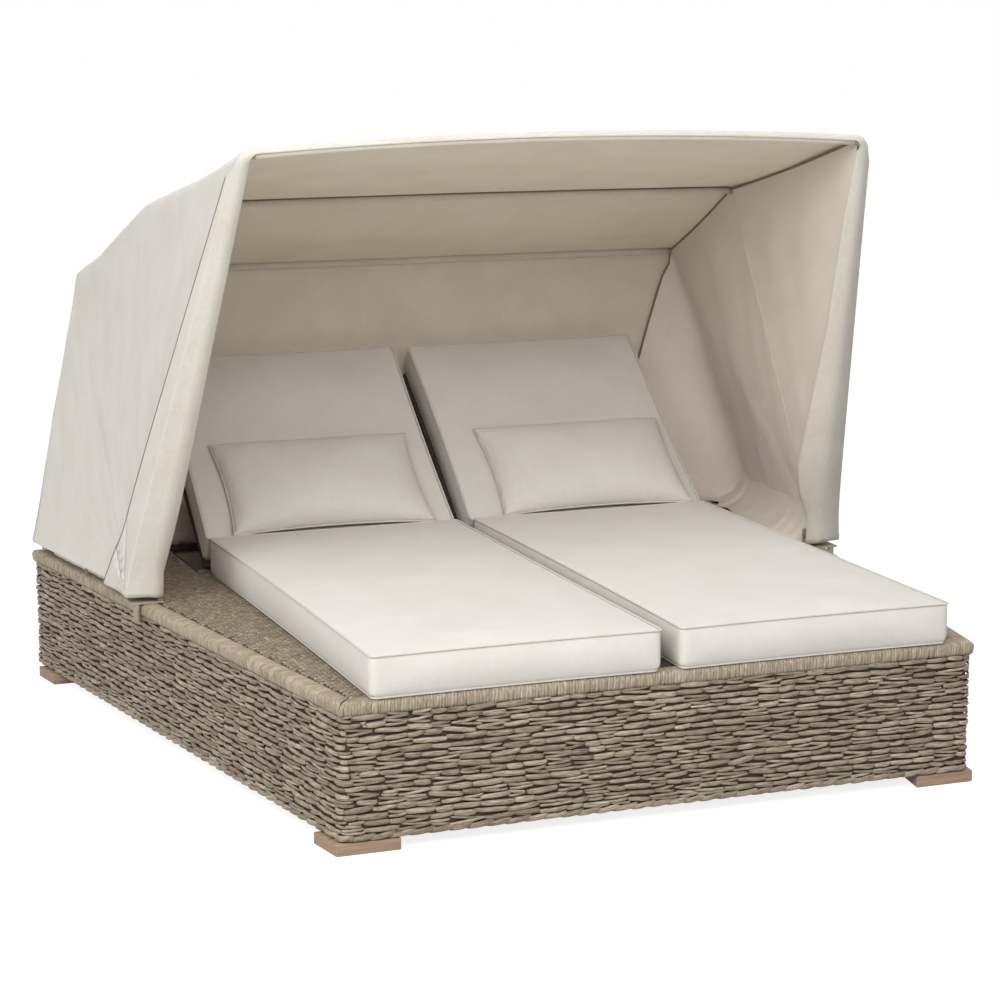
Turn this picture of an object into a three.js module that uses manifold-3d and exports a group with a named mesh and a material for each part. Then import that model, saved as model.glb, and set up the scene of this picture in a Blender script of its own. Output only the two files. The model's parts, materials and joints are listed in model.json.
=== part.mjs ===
import * as THREE from "three";
import { mergeVertices } from "three/addons/utils/BufferGeometryUtils.js";
import Module from "manifold-3d";

const wasm = await Module();
wasm.setup();

// Outdoor double daybed with a folding canopy. Millimetres, X to the side, Y from foot end to head
// end, Z up. The sizes are given from the middle of the foot end on the floor, and the last lines
// move the whole daybed so that its origin is at the middle of its bounding box, on the floor.

// Gap between touching pieces
const gap = 0.3;

// Base, narrow at the foot end and wide at the head end
const footHalfWidth = 780;
const headHalfWidth = 1080;
const baseLength = 1822;
const wickerBottom = 28;
const wickerThickness = 22;
const wickerCorner = 14;
const deckTop = 345;
const rimHeight = 30;
const rimWidth = 46;
const rimProud = 3;
const rimRound = 11;
const railWidth = 40;
const railHeight = 55;
const beamWidth = 80;
const footLength = 150;
const footDepth = 110;
const postSize = 60;
const footOut = 12;

// Seat cushions and lying places
const placeGap = 21;
const placeHalfWidth = 714;
const seatOverhang = 8;
const seatThickness = 96;
const cushionCrown = 7;
const cushionPull = 5;
const cushionBulge = 4;
const cushionRound = 14;

// Backrests, hinged behind the seat
const hingeFromHead = 417;
const seatGap = 95;
const hingeDrop = 5;
const hingeRodRadius = 6;
const reclineAngle = THREE.MathUtils.degToRad(38.6);
const panelStart = hingeRodRadius + gap;
const panelEnd = 660;
const panelThickness = 22;
const panelInset = 14;
const backStart = 22;
const backEnd = 690;
const backThickness = 97;
const backLift = panelThickness / 2 + gap;
const pillowNear = 100;
const pillowFar = 660;
const pillowStart = 2;
const pillowHeight = 322;
const pillowFront = 62;
const pillowBack = 9;
const pillowEdge = 6;
const pillowPull = 12;
const pillowLift = 14.5;
const pillowShift = 16;

// Prop under each backrest and the rack that it stands in
const propPivotAlong = 400;
const propFootBehind = 34;
const propRodRadius = 8;
const propRodLength = 60;
const propBarWidth = 20;
const propBarThickness = 8;
const propFootDrop = 45;
const rackWidth = 14;
const rackHeight = 22;
const rackNotchHalf = 9;
const rackBottom = deckTop - rimHeight - railHeight;

// Canopy bows on one pivot line, from the angle above the head end and the reach from the pivot
const pivotFromHead = 727;
const pivotRise = 32;
const bowRadius = 9;
const bowCorner = 28;
const bowStart = 6.8;
const pinRadius = 5;
const bows = {
  rear: { back: 870, rise: 703, pivotOut: 12, leanIn: 72, crown: 0 },
  middle: { back: 335, rise: 923, pivotOut: -8, leanIn: 114, crown: 4 },
  front: { back: -466, rise: 1103, pivotOut: -28, leanIn: 136, crown: 27 },
};

// Pivot brackets on the rim
const bracketIn = 57;
const bracketEar = 12;
const bracketOut = 26;
const bracketLength = 60;
const bracketPlate = 5;
const earRise = 17;
const earLength = 34;
const socketRadius = 9;
const socketDrop = 45;
const pinOut = 23;
const pinClearSlope = 0.35;

// Canopy cloth
const clothThickness = 2.5;
const clothOffset = 10.8;
const clothLegEase = 2.4;
const hemRise = 27;
const hemOut = 11;
const hemRound = 40;
const clothStart = 50;
const roofSag = 10;
const sideSag = 5;
const bulgeInset = 49;
const foldDepth = 5;
const foldCount = 7;
const wrapOffset = 14.1;
const wrapLegEase = 12;
const wrapBand = 42;
const lipTurns = [Math.PI * 0.9, Math.PI * 0.6, Math.PI * 0.3];
const seamHemBack = 305;
const wrapHemRise = 21;
const seamMargin = 1;

// Hem ties
const tieBack = 317;
const tieRadius = 4;
const tieDrop = 22;
const knotRadius = 6;

// Steps of the curved forms
const legSteps = 10;
const barSteps = 14;
const gapSteps = 4;
const tubeSides = 16;
const cushionSteps = { x: 10, y: 14, z: 3 };
const pillowSteps = { x: 10, y: 10, z: 2 };
const wallCornerSteps = 4;
const rimRoundSteps = 3;
const bowCornerSteps = 4;

// Shares and spans of shaped forms; a shaped box runs from -1 to 1
const boxSpan = 2;
const cushionCornerShare = 1 / 4;
const cushionFlatShare = 1 / 4;
const pillowFillPower = 0.6;
const rackSeatShare = 1 / 3;
const hemCornerShare = 1 / 4;

const finish = (color, roughness, metalness = 0) => ({ color, roughness, metalness });
const wicker = finish("#9c8870", 0.85);
const teak = finish("#d3b090", 0.7);
const taupeTube = finish("#8b7d6c", 0.55, 0.2);
const cushionCloth = finish("#ded7cc", 0.95);
const canopyCloth = finish("#cfc6ba", 0.95);
const steel = finish("#8d8a86", 0.4, 0.8);

const daybed = new THREE.Group();

function add(name, geometry, look) {
  const mesh = new THREE.Mesh(geometry, new THREE.MeshStandardMaterial(look));
  mesh.name = name;
  daybed.add(mesh);
  return mesh;
}

// Half width of the base's outer face at a distance from the foot end
const halfWidthAt = (y) => footHalfWidth + ((headHalfWidth - footHalfWidth) * y) / baseLength;
const seatRear = baseLength - hingeFromHead - seatGap;
const hingeY = baseLength - hingeFromHead;
const hingeZ = deckTop - hingeDrop;
const backReach = hingeY + backEnd * Math.cos(reclineAngle);
const backBulge = backReach - baseLength - hemOut - bulgeInset;
const propFootZ = deckTop - propFootDrop;
const pivotY = baseLength - pivotFromHead;
const pivotZ = deckTop + pivotRise;
const pinOuter = halfWidthAt(pivotY) + pinOut;
const hemHeight = deckTop + hemRise;
const wrapHemZ = deckTop + wrapHemRise;
const seamHemY = pivotY + seamHemBack;
const tieY = pivotY + tieBack;
for (const bow of Object.values(bows)) {
  bow.reach = Math.hypot(bow.back, bow.rise);
  bow.angle = Math.atan2(bow.rise, bow.back);
  bow.pivotHalf = halfWidthAt(pivotY) + bow.pivotOut;
  bow.topHalf = bow.pivotHalf - bow.leanIn;
}
const sideSlope = Math.hypot(1, (headHalfWidth - footHalfWidth) / baseLength);
const sides = { left: -1, right: 1 };

// A plan outline raised between two heights
function slab(points, bottom, top) {
  const shape = new THREE.Shape(points.map(([x, y]) => new THREE.Vector2(x, y)));
  const geometry = new THREE.ExtrudeGeometry(shape, { depth: top - bottom, bevelEnabled: false });
  return geometry.translate(0, 0, bottom);
}

function block(x0, x1, y0, y1, z0, z1) {
  const geometry = new THREE.BoxGeometry(x1 - x0, y1 - y0, z1 - z0);
  return geometry.translate((x0 + x1) / 2, (y0 + y1) / 2, (z0 + z1) / 2);
}

// A round bar between two points
function rod(from, to, radius) {
  const axis = new THREE.Vector3().subVectors(to, from);
  const geometry = new THREE.CylinderGeometry(radius, radius, axis.length(), tubeSides);
  const turn = new THREE.Quaternion().setFromUnitVectors(new THREE.Vector3(0, 1, 0), axis.clone().normalize());
  const middle = new THREE.Vector3().addVectors(from, to).multiplyScalar(1 / 2);
  return geometry.applyQuaternion(turn).translate(middle.x, middle.y, middle.z);
}

function toManifold(geometry) {
  const welded = mergeVertices(stripped(geometry));
  return new wasm.Manifold(
    new wasm.Mesh({
      numProp: 3,
      vertProperties: new Float32Array(welded.attributes.position.array),
      triVerts: new Uint32Array(welded.index.array),
    }),
  );
}

function fromManifold(solid) {
  const mesh = solid.getMesh();
  const geometry = new THREE.BufferGeometry();
  geometry.setAttribute("position", new THREE.BufferAttribute(new Float32Array(mesh.vertProperties), 3));
  geometry.setIndex(new THREE.BufferAttribute(new Uint32Array(mesh.triVerts), 1));
  geometry.computeVertexNormals();
  return geometry;
}

const join = (...pieces) =>
  fromManifold(pieces.map(toManifold).reduce((whole, piece) => whole.add(piece)));

const cut = (body, ...holes) =>
  fromManifold(holes.map(toManifold).reduce((rest, hole) => rest.subtract(hole), toManifold(body)));

// Turns a geometry's face order round where it was mirrored
function mirrored(geometry) {
  geometry.scale(-1, 1, 1);
  const index = geometry.index.array;
  for (let i = 0; i < index.length; i += 3) {
    [index[i], index[i + 1]] = [index[i + 1], index[i]];
  }
  return geometry;
}

// Left pieces are the right ones mirrored
function addPair(name, make, look) {
  for (const [side, sign] of Object.entries(sides)) {
    const geometry = mergeVertices(stripped(make()));
    add(`${name}_${side}`, sign < 0 ? mirrored(geometry) : geometry, look);
  }
}

function stripped(geometry) {
  const bare = geometry.clone();
  bare.deleteAttribute("normal");
  bare.deleteAttribute("uv");
  return bare;
}

// Plan line parallel to the base's right side, at a distance inside its outer face
const sideX = (y, inside) => halfWidthAt(y) - inside * sideSlope;

// Right side strip between two distances inside the outer face and two places along the base
function sideStrip(outer, inner, y0, y1) {
  return [
    [sideX(y0, inner), y0],
    [sideX(y0, outer), y0],
    [sideX(y1, outer), y1],
    [sideX(y1, inner), y1],
  ];
}

// Woven walls: the side walls run the whole length, with rounded outer corners
function addWickerWalls() {
  const top = deckTop - rimHeight - gap;
  const sideOutline = () => {
    const outline = sideStrip(0, wickerThickness, 0, baseLength);
    const [frontInner, frontOuter, rearOuter, rearInner] = outline;
    const rounded = [frontInner];
    for (const [corner, before, after] of [
      [frontOuter, frontInner, rearOuter],
      [rearOuter, frontOuter, rearInner],
    ]) {
      rounded.push(...roundedCorner(corner, before, after, wickerCorner));
    }
    rounded.push(rearInner);
    return rounded;
  };
  addPair("wicker", () => slab(sideOutline(), wickerBottom, top), wicker);
  const inside = wickerThickness + gap;
  for (const [name, y0, y1] of [
    ["wicker_foot", 0, wickerThickness],
    ["wicker_head", baseLength - wickerThickness, baseLength],
  ]) {
    const outline = [
      [-sideX(y0, inside), y0],
      [sideX(y0, inside), y0],
      [sideX(y1, inside), y1],
      [-sideX(y1, inside), y1],
    ];
    add(name, slab(outline, wickerBottom, top), wicker);
  }
}

// Points of an arc that rounds a corner of an outline
function roundedCorner([cx, cy], [bx, by], [ax, ay], radius) {
  const toBefore = new THREE.Vector2(bx - cx, by - cy).normalize();
  const toAfter = new THREE.Vector2(ax - cx, ay - cy).normalize();
  const start = new THREE.Vector2(cx, cy).addScaledVector(toBefore, radius);
  const end = new THREE.Vector2(cx, cy).addScaledVector(toAfter, radius);
  const curve = new THREE.QuadraticBezierCurve(start, new THREE.Vector2(cx, cy), end);
  return curve.getPoints(wallCornerSteps).map((point) => [point.x, point.y]);
}

// Section of the wrapped border roll: across from the outer edge, and up
function rimSection() {
  const shape = new THREE.Shape();
  const bottom = deckTop - rimHeight;
  shape.moveTo(0, bottom);
  shape.lineTo(0, deckTop - rimRound);
  shape.quadraticCurveTo(0, deckTop, rimRound, deckTop);
  shape.lineTo(rimWidth, deckTop);
  shape.lineTo(rimWidth, bottom);
  return shape.getPoints(rimRoundSteps);
}

// A border roll between two mitred ends: each section point is placed by the given plan function
function rimRoll(place) {
  const section = rimSection().reverse();
  const rings = [0, 1].map((end) =>
    section.map((point) => {
      const [x, y] = place(point.x, end);
      return [x, y, point.y];
    }),
  );
  const positions = rings.flat(2);
  const count = section.length;
  const index = [];
  for (let i = 0; i < count; i += 1) {
    const next = (i + 1) % count;
    index.push(i, next, count + next, i, count + next, count + i);
  }
  const caps = THREE.ShapeUtils.triangulateShape(section, []);
  for (const [a, b, c] of caps) {
    index.push(a, c, b, count + a, count + b, count + c);
  }
  return closed(positions, index);
}

function closed(positions, index) {
  const geometry = new THREE.BufferGeometry();
  geometry.setAttribute("position", new THREE.Float32BufferAttribute(positions, 3));
  geometry.setIndex(index);
  return outward(geometry);
}

// Turns all faces outward by the sign of the enclosed volume
function outward(geometry) {
  const at = geometry.attributes.position;
  const index = geometry.index.array;
  const [a, b, c] = [new THREE.Vector3(), new THREE.Vector3(), new THREE.Vector3()];
  let volume = 0;
  for (let i = 0; i < index.length; i += 3) {
    a.fromBufferAttribute(at, index[i]);
    b.fromBufferAttribute(at, index[i + 1]);
    c.fromBufferAttribute(at, index[i + 2]);
    volume += a.dot(b.cross(c));
  }
  if (volume < 0) {
    for (let i = 0; i < index.length; i += 3) {
      [index[i], index[i + 1]] = [index[i + 1], index[i]];
    }
  }
  return geometry;
}

// Border rolls round the top of the walls, mitred at the corners
function addRim() {
  const mitre = (inside, end) => (end === 0 ? inside - rimProud : baseLength + rimProud - inside);
  const crossing = (inside, end) => [sideX(mitre(inside, end), inside - rimProud), mitre(inside, end)];
  addPair(
    "rim",
    () =>
      rimRoll((inside, end) => {
        const [x, y] = crossing(inside, end);
        return [x, y + (end === 0 ? gap : -gap)];
      }),
    wicker,
  );
  for (const [name, end] of [
    ["rim_foot", 0],
    ["rim_head", 1],
  ]) {
    const roll = rimRoll((inside, half) => {
      const [x, y] = crossing(inside, end);
      return [(half === 0 ? -1 : 1) * (x - gap), y];
    });
    add(name, roll, wicker);
  }
}

// Frame rails behind the woven walls, beam under the hinge line and rail under the middle
function addFrame() {
  const top = deckTop - rimHeight - gap;
  const bottom = top - railHeight + gap;
  const near = wickerThickness + gap;
  const far = near + railWidth;
  const headInside = baseLength - near;
  addPair("frame_rail", () => slab(sideStrip(near, far, near, headInside), bottom, top), taupeTube);
  for (const [name, y0, y1] of [
    ["frame_rail_foot", near, far],
    ["frame_rail_head", headInside - railWidth, headInside],
    ["hinge_beam", hingeY - beamWidth + propBarWidth, hingeY + propBarWidth],
  ]) {
    const outline = [
      [-sideX(y0, far + gap), y0],
      [sideX(y0, far + gap), y0],
      [sideX(y1, far + gap), y1],
      [-sideX(y1, far + gap), y1],
    ];
    add(name, slab(outline, bottom, top), taupeTube);
  }
  const halfRail = railWidth / 2;
  const beamFront = hingeY - beamWidth + propBarWidth - gap;
  add("middle_rail", block(-halfRail, halfRail, far + gap, beamFront, bottom, top), taupeTube);
  const rodHalf = placeHalfWidth + panelInset;
  add(
    "hinge_rod",
    rod(
      new THREE.Vector3(-rodHalf, hingeY, hingeZ),
      new THREE.Vector3(rodHalf, hingeY, hingeZ),
      hingeRodRadius,
    ),
    steel,
  );
}

// Flat woven deck: one piece under the seats and one beside each backrest
function addDeck() {
  const bottom = deckTop - rimHeight;
  const inner = rimWidth - rimProud + gap;
  const deckRear = hingeY - panelInset;
  const seat = [
    [-sideX(inner, inner), inner],
    [sideX(inner, inner), inner],
    [sideX(deckRear, inner), deckRear],
    [-sideX(deckRear, inner), deckRear],
  ];
  add("deck_seat", slab(seat, bottom, deckTop - gap), wicker);
  const headEdge = baseLength - inner;
  const start = deckRear + gap;
  const wallX = placeHalfWidth + panelInset + gap;
  addPair(
    "deck_side",
    () =>
      slab(
        [
          [wallX, start],
          [sideX(start, inner), start],
          [sideX(headEdge, inner), headEdge],
          [wallX, headEdge],
        ],
        bottom,
        deckTop - gap,
      ),
    wicker,
  );
}

// Wooden foot block under each corner, with its post behind the woven wall
function addFeet() {
  const blockTop = wickerBottom - gap;
  const postTop = deckTop - rimHeight - railHeight - gap;
  const near = wickerThickness + gap;
  for (const [end, y0] of [
    ["foot", 0],
    ["head", baseLength - footDepth - rimWidth],
  ]) {
    const y1 = y0 + footDepth;
    const postY = end === "foot" ? near : y0 + footDepth - postSize;
    addPair(
      `foot_${end}`,
      () => {
        const plan = [
          [sideX(y0, -footOut) - footLength, y0],
          [sideX(y0, -footOut), y0],
          [sideX(y1, -footOut), y1],
          [sideX(y1, -footOut) - footLength, y1],
        ];
        const postX = sideX(postY, near) - postSize;
        const post = block(postX, postX + postSize, postY, postY + postSize, blockTop - gap, postTop);
        return join(slab(plan, 0, blockTop), post);
      },
      teak,
    );
  }
}

// A boxed cushion: crowned faces, sides drawn in between the corners and rounded outline corners
function cushion(width, length, thickness) {
  const { x: sx, y: sy, z: sz } = cushionSteps;
  const geometry = new THREE.BoxGeometry(boxSpan, boxSpan, boxSpan, sx, sy, sz);
  const at = geometry.attributes.position;
  for (let i = 0; i < at.count; i += 1) {
    const [u, v, w] = [at.getX(i), at.getY(i), at.getZ(i)];
    const across = 1 - u * u;
    const along = 1 - v * v;
    const side = cushionBulge * (1 - w * w) - cushionBulge;
    const cornerNear = Math.max(0, Math.abs(u) + Math.abs(v) - boxSpan + cushionCornerShare);
    const cornerIn = (cushionRound * cornerNear) / cushionCornerShare;
    const halfX = width / 2 - cushionPull * along + side - cornerIn;
    const halfY = length / 2 - cushionPull * across + side - cornerIn;
    const crown = cushionCrown * Math.sqrt(across * along);
    at.setXYZ(i, u * halfX, v * halfY, w * (thickness / 2 - cushionCrown + crown));
  }
  return mergeVertices(stripped(geometry));
}

function addSeatCushions() {
  const bottom = deckTop;
  const length = seatRear + seatOverhang;
  addPair(
    "seat_cushion",
    () => {
      const geometry = cushion(placeHalfWidth - placeGap, length, seatThickness);
      const middleX = (placeHalfWidth + placeGap) / 2;
      flattenBottom(geometry, seatThickness);
      return geometry.translate(middleX, seatRear - length / 2, bottom + gap + seatThickness / 2);
    },
    cushionCloth,
  );
}

// The face that a cushion rests on is flat
function flattenBottom(geometry, thickness) {
  const at = geometry.attributes.position;
  for (let i = 0; i < at.count; i += 1) {
    if (at.getZ(i) < -thickness * cushionFlatShare) {
      at.setZ(i, -thickness / 2);
    }
  }
}

// Moves a geometry from flat on the hinge line, length along +Y, to the reclined backrest
function recline(geometry) {
  return geometry.rotateX(reclineAngle).translate(0, hingeY, hingeZ);
}

function addBackrests() {
  const middleX = (placeHalfWidth + placeGap) / 2;
  addPair(
    "backrest_panel",
    () => {
      const inner = placeGap + gap;
      const outer = placeHalfWidth - panelInset / 2;
      const half = panelThickness / 2;
      return recline(block(inner, outer, panelStart, panelEnd, -half, half));
    },
    wicker,
  );
  addPair(
    "back_cushion",
    () => {
      const length = backEnd - backStart;
      const geometry = cushion(placeHalfWidth - placeGap, length, backThickness);
      flattenBottom(geometry, backThickness);
      geometry.translate(middleX, (backStart + backEnd) / 2, backLift + backThickness / 2);
      return recline(geometry);
    },
    cushionCloth,
  );
  addPair("lumbar_pillow", () => recline(pillow()), cushionCloth);
  for (const side of Object.keys(sides)) {
    daybed.getObjectByName(`lumbar_pillow_${side}`).geometry.translate(pillowShift, 0, 0);
  }
  addPair("backrest_prop", prop, taupeTube);
  addPair("prop_rack", rack, taupeTube);
}

// A knife-edged pillow with a full front and a nearly flat back
function pillow() {
  const width = pillowFar - pillowNear;
  const { x: sx, y: sy, z: sz } = pillowSteps;
  const geometry = new THREE.BoxGeometry(boxSpan, boxSpan, boxSpan, sx, sy, sz);
  const at = geometry.attributes.position;
  for (let i = 0; i < at.count; i += 1) {
    const [u, v, w] = [at.getX(i), at.getY(i), at.getZ(i)];
    const fill = Math.pow((1 - u ** 4) * (1 - v ** 4), pillowFillPower);
    const depth = w > 0 ? pillowFront : pillowBack;
    const halfX = width / 2 - pillowPull * (1 - v * v);
    const halfY = pillowHeight / 2 - pillowPull * (1 - u * u);
    at.setXYZ(i, u * halfX, v * halfY, w * (pillowEdge + depth * fill));
  }
  const geometryBare = mergeVertices(stripped(geometry));
  const lift = backLift + backThickness + pillowLift;
  return geometryBare.translate(
    (pillowNear + pillowFar) / 2,
    pillowStart + pillowHeight / 2,
    lift,
  );
}

const propX = (placeHalfWidth + placeGap) / 2;
const propDrop = panelThickness / 2 + propRodRadius + gap;
const propPivot = new THREE.Vector3(
  propX,
  hingeY + propPivotAlong * Math.cos(reclineAngle) + propDrop * Math.sin(reclineAngle),
  hingeZ + propPivotAlong * Math.sin(reclineAngle) - propDrop * Math.cos(reclineAngle),
);
const propFootY = hingeY + propFootBehind;
const propFoot = new THREE.Vector3(propX, propFootY, propFootZ);

// Prop: a flat bar between a pivot rod under the backrest and a foot rod
function prop() {
  const half = propRodLength / 2;
  const rodAt = (point) =>
    rod(
      new THREE.Vector3(point.x - half, point.y, point.z),
      new THREE.Vector3(point.x + half, point.y, point.z),
      propRodRadius,
    );
  const propLength = propPivot.distanceTo(propFoot);
  const bar = new THREE.BoxGeometry(propBarWidth, propLength, propBarThickness);
  const lean = Math.atan2(propPivot.z - propFoot.z, propPivot.y - propFoot.y);
  bar.rotateX(lean);
  bar.translate(propX, (propPivot.y + propFoot.y) / 2, (propPivot.z + propFoot.z) / 2);
  return join(bar, rodAt(propPivot), rodAt(propFoot));
}

// Rack: a rail between the hinge beam and the head rail, with a raised seat for the prop's foot
function rack() {
  const front = hingeY + propBarWidth + gap;
  const rear = baseLength - wickerThickness - railWidth - 2 * gap;
  const low = rackBottom + rackHeight;
  const seat = propFootZ - propRodRadius - gap;
  const shape = new THREE.Shape();
  shape.moveTo(front, rackBottom);
  shape.lineTo(rear, rackBottom);
  shape.lineTo(rear, low);
  shape.lineTo(propFootY + rackNotchHalf, low);
  shape.lineTo(propFootY - rackNotchHalf * rackSeatShare, seat);
  shape.lineTo(front, seat);
  const geometry = new THREE.ExtrudeGeometry(shape, { depth: rackWidth, bevelEnabled: false });
  const upright = new THREE.Matrix4().set(0, 0, 1, propX - rackWidth / 2, 1, 0, 0, 0, 0, 1, 0, 0, 0, 0, 0, 1);
  return geometry.applyMatrix4(upright);
}

// Point in a bow's plane: reach from the pivot line, and distance to the side
function bowPoint(bow, reach, x) {
  const y = pivotY + reach * Math.cos(bow.angle);
  return new THREE.Vector3(x, y, pivotZ + reach * Math.sin(bow.angle));
}

// Right half of a bow as places in its plane: along the leg, round the corner and to the middle
function bowPlaces(bow, offset) {
  const legX = (reach) => bow.pivotHalf + ((bow.topHalf - bow.pivotHalf) * reach) / bow.reach;
  const places = [];
  const lean = Math.atan2(bow.topHalf - bow.pivotHalf, bow.reach);
  const legEnd = bow.reach - bowCorner;
  for (let i = 0; i <= legSteps; i += 1) {
    const reach = clothStart + ((legEnd - clothStart) * i) / legSteps;
    places.push([reach + offset * -Math.sin(lean), legX(reach) + offset * Math.cos(lean)]);
  }
  const centre = [legEnd, legX(legEnd) - bowCorner];
  for (let i = 1; i <= bowCornerSteps; i += 1) {
    const turn = (Math.PI / 2) * (i / bowCornerSteps);
    const radius = bowCorner + offset;
    places.push([centre[0] + radius * Math.sin(turn), centre[1] + radius * Math.cos(turn)]);
  }
  const barHalf = centre[1];
  for (let i = 1; i <= barSteps / 2; i += 1) {
    const x = barHalf * (1 - (2 * i) / barSteps);
    const share = 1 - (x / barHalf) ** 2;
    places.push([bow.reach + offset + bow.crown * share, x]);
  }
  return places;
}

// Whole bow line from the left pivot to the right one
function bowLine(bow, offset) {
  const half = bowPlaces(bow, offset);
  const right = half.map(([reach, x]) => bowPoint(bow, reach, x));
  const left = right.slice(0, -1).map((point) => new THREE.Vector3(-point.x, point.y, point.z));
  return [...left, ...right.reverse()];
}

// Bent top tube and straight legs of one bow
function addBow(name, bow) {
  const half = bowPlaces(bow, 0).slice(legSteps);
  const right = half.map(([reach, x]) => bowPoint(bow, reach, x));
  const left = right.slice(0, -1).map((point) => new THREE.Vector3(-point.x, point.y, point.z));
  const points = [...left, ...right.reverse()];
  const pivot = bowPoint(bow, 0, -bow.pivotHalf);
  const up = new THREE.Vector3().subVectors(points[0], pivot).normalize();
  const down = new THREE.Vector3(up.x, -up.y, -up.z);
  add(`${name}_bow_bar`, sweep(points, bowRadius, up, down), taupeTube);
  const [endReach, endX] = half[0];
  const legDirection = (bow.topHalf - bow.pivotHalf) / bow.reach;
  addPair(
    `${name}_bow_leg`,
    () =>
      rod(
        bowPoint(bow, bowStart, bow.pivotHalf + legDirection * bowStart),
        bowPoint(bow, endReach - gap, endX - legDirection * gap),
        bowRadius,
      ),
    taupeTube,
  );
}

// A round tube through points in one plane, with mitred joints and flat ends
function sweep(points, radius, first, last) {
  const count = points.length;
  const positions = [];
  const middle = points[Math.floor(count / 2)];
  const plane = new THREE.Vector3()
    .subVectors(middle, points[0])
    .cross(new THREE.Vector3(1, 0, 0))
    .normalize();
  for (let i = 0; i < count; i += 1) {
    const step = (from, to) => new THREE.Vector3().subVectors(points[to], points[from]).normalize();
    const before = i === 0 ? first : step(i - 1, i);
    const after = i === count - 1 ? last : step(i, i + 1);
    const tangent = i === 0 ? first : i === count - 1 ? last : before.clone().add(after).normalize();
    const outwardDirection = new THREE.Vector3().crossVectors(plane, tangent).normalize();
    const stretch = i === 0 || i === count - 1 ? 1 : 1 / tangent.dot(after);
    for (let k = 0; k < tubeSides; k += 1) {
      const angle = (2 * Math.PI * k) / tubeSides;
      const point = points[i]
        .clone()
        .addScaledVector(plane, radius * Math.cos(angle))
        .addScaledVector(outwardDirection, radius * stretch * Math.sin(angle));
      positions.push(point.x, point.y, point.z);
    }
  }
  const index = [];
  for (let i = 0; i < count - 1; i += 1) {
    for (let k = 0; k < tubeSides; k += 1) {
      const a = i * tubeSides + k;
      const b = i * tubeSides + ((k + 1) % tubeSides);
      index.push(a, b, b + tubeSides, a, b + tubeSides, a + tubeSides);
    }
  }
  const end = (count - 1) * tubeSides;
  for (let k = 1; k < tubeSides - 1; k += 1) {
    index.push(0, k + 1, k, end, end + k, end + k + 1);
  }
  return closed(positions, index);
}

// A closed sheet of the cloth's thickness about a grid of points
function clothSheet(grid) {
  const rows = grid.length;
  const columns = grid[0].length;
  const flat = grid.flat();
  const normals = gridNormals(grid);
  const positions = [];
  for (const sign of [1, -1]) {
    flat.forEach((point, i) => {
      const place = point.clone().addScaledVector(normals[i], (sign * clothThickness) / 2);
      positions.push(place.x, place.y, place.z);
    });
  }
  const layer = rows * columns;
  const index = [];
  const at = (r, c) => r * columns + c;
  for (let r = 0; r < rows - 1; r += 1) {
    for (let c = 0; c < columns - 1; c += 1) {
      const [a, b, d, e] = [at(r, c), at(r, c + 1), at(r + 1, c + 1), at(r + 1, c)];
      index.push(a, b, d, a, d, e);
      index.push(layer + a, layer + d, layer + b, layer + a, layer + e, layer + d);
    }
  }
  const border = [];
  for (let c = 0; c < columns - 1; c += 1) border.push(at(0, c));
  for (let r = 0; r < rows - 1; r += 1) border.push(at(r, columns - 1));
  for (let c = columns - 1; c > 0; c -= 1) border.push(at(rows - 1, c));
  for (let r = rows - 1; r > 0; r -= 1) border.push(at(r, 0));
  border.forEach((a, i) => {
    const b = border[(i + 1) % border.length];
    index.push(a, layer + b, b, a, layer + a, layer + b);
  });
  return closed(positions, index);
}

function gridNormals(grid) {
  const rows = grid.length;
  const columns = grid[0].length;
  const normals = [];
  for (let r = 0; r < rows; r += 1) {
    for (let c = 0; c < columns; c += 1) {
      const down = grid[Math.min(r + 1, rows - 1)][c].clone().sub(grid[Math.max(r - 1, 0)][c]);
      const across = grid[r][Math.min(c + 1, columns - 1)].clone().sub(grid[r][Math.max(c - 1, 0)]);
      normals.push(down.cross(across).normalize());
    }
  }
  return normals;
}

// Share of the roof in a place along a bow line: 0 on the sides and 1 in the middle
const roofShare = (place) => Math.sin(Math.PI * place) ** 4;

// Outward normals of the cloth between two lines
function spanNormals(fromLine, toLine) {
  const last = fromLine.length - 1;
  return fromLine.map((from, i) => {
    const [before, after] = [Math.max(i - 1, 0), Math.min(i + 1, last)];
    const along = new THREE.Vector3().subVectors(fromLine[after], fromLine[before]);
    along.add(toLine[after]).sub(toLine[before]);
    return along.cross(new THREE.Vector3().subVectors(toLine[i], from)).normalize();
  });
}

// A bow's line moved out to the cloth, on the mitre between the cloths in front and behind
function coveringLine(line, normalsBefore, normalsAfter) {
  return line.map((point, i) => {
    const mitre = normalsBefore[i].clone().add(normalsAfter[i]).normalize();
    const offset = clothOffset + clothLegEase * (1 - roofShare(i / (line.length - 1)));
    return point.clone().addScaledVector(mitre, offset / mitre.dot(normalsAfter[i]));
  });
}

// Cloth between two lines: each row is one place along both lines, with a sag or bulge across
function spanGrid(fromLine, toLine, shape) {
  const normals = spanNormals(fromLine, toLine);
  return fromLine.map((from, i) => {
    const to = toLine[i];
    const trim = seamMargin / from.distanceTo(to);
    const row = [];
    for (let k = 0; k <= gapSteps; k += 1) {
      const share = trim + (1 - 2 * trim) * (k / gapSteps);
      const arch = Math.sin(Math.PI * share);
      const lift = shape(i / (fromLine.length - 1)) * arch;
      row.push(from.clone().lerp(to, share).addScaledVector(normals[i], lift));
    }
    return row;
  });
}

// Sag toward the inside, larger on the roof than on the sides
const sagging = (place) => -sideSag - (roofSag - sideSag) * roofShare(place);

// The back cloth bulges behind the backrests and hangs in soft upright folds
function backShape(place) {
  const fold = Math.sin(2 * Math.PI * foldCount * place) * foldDepth;
  return (backBulge + fold) * roofShare(place);
}

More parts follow.
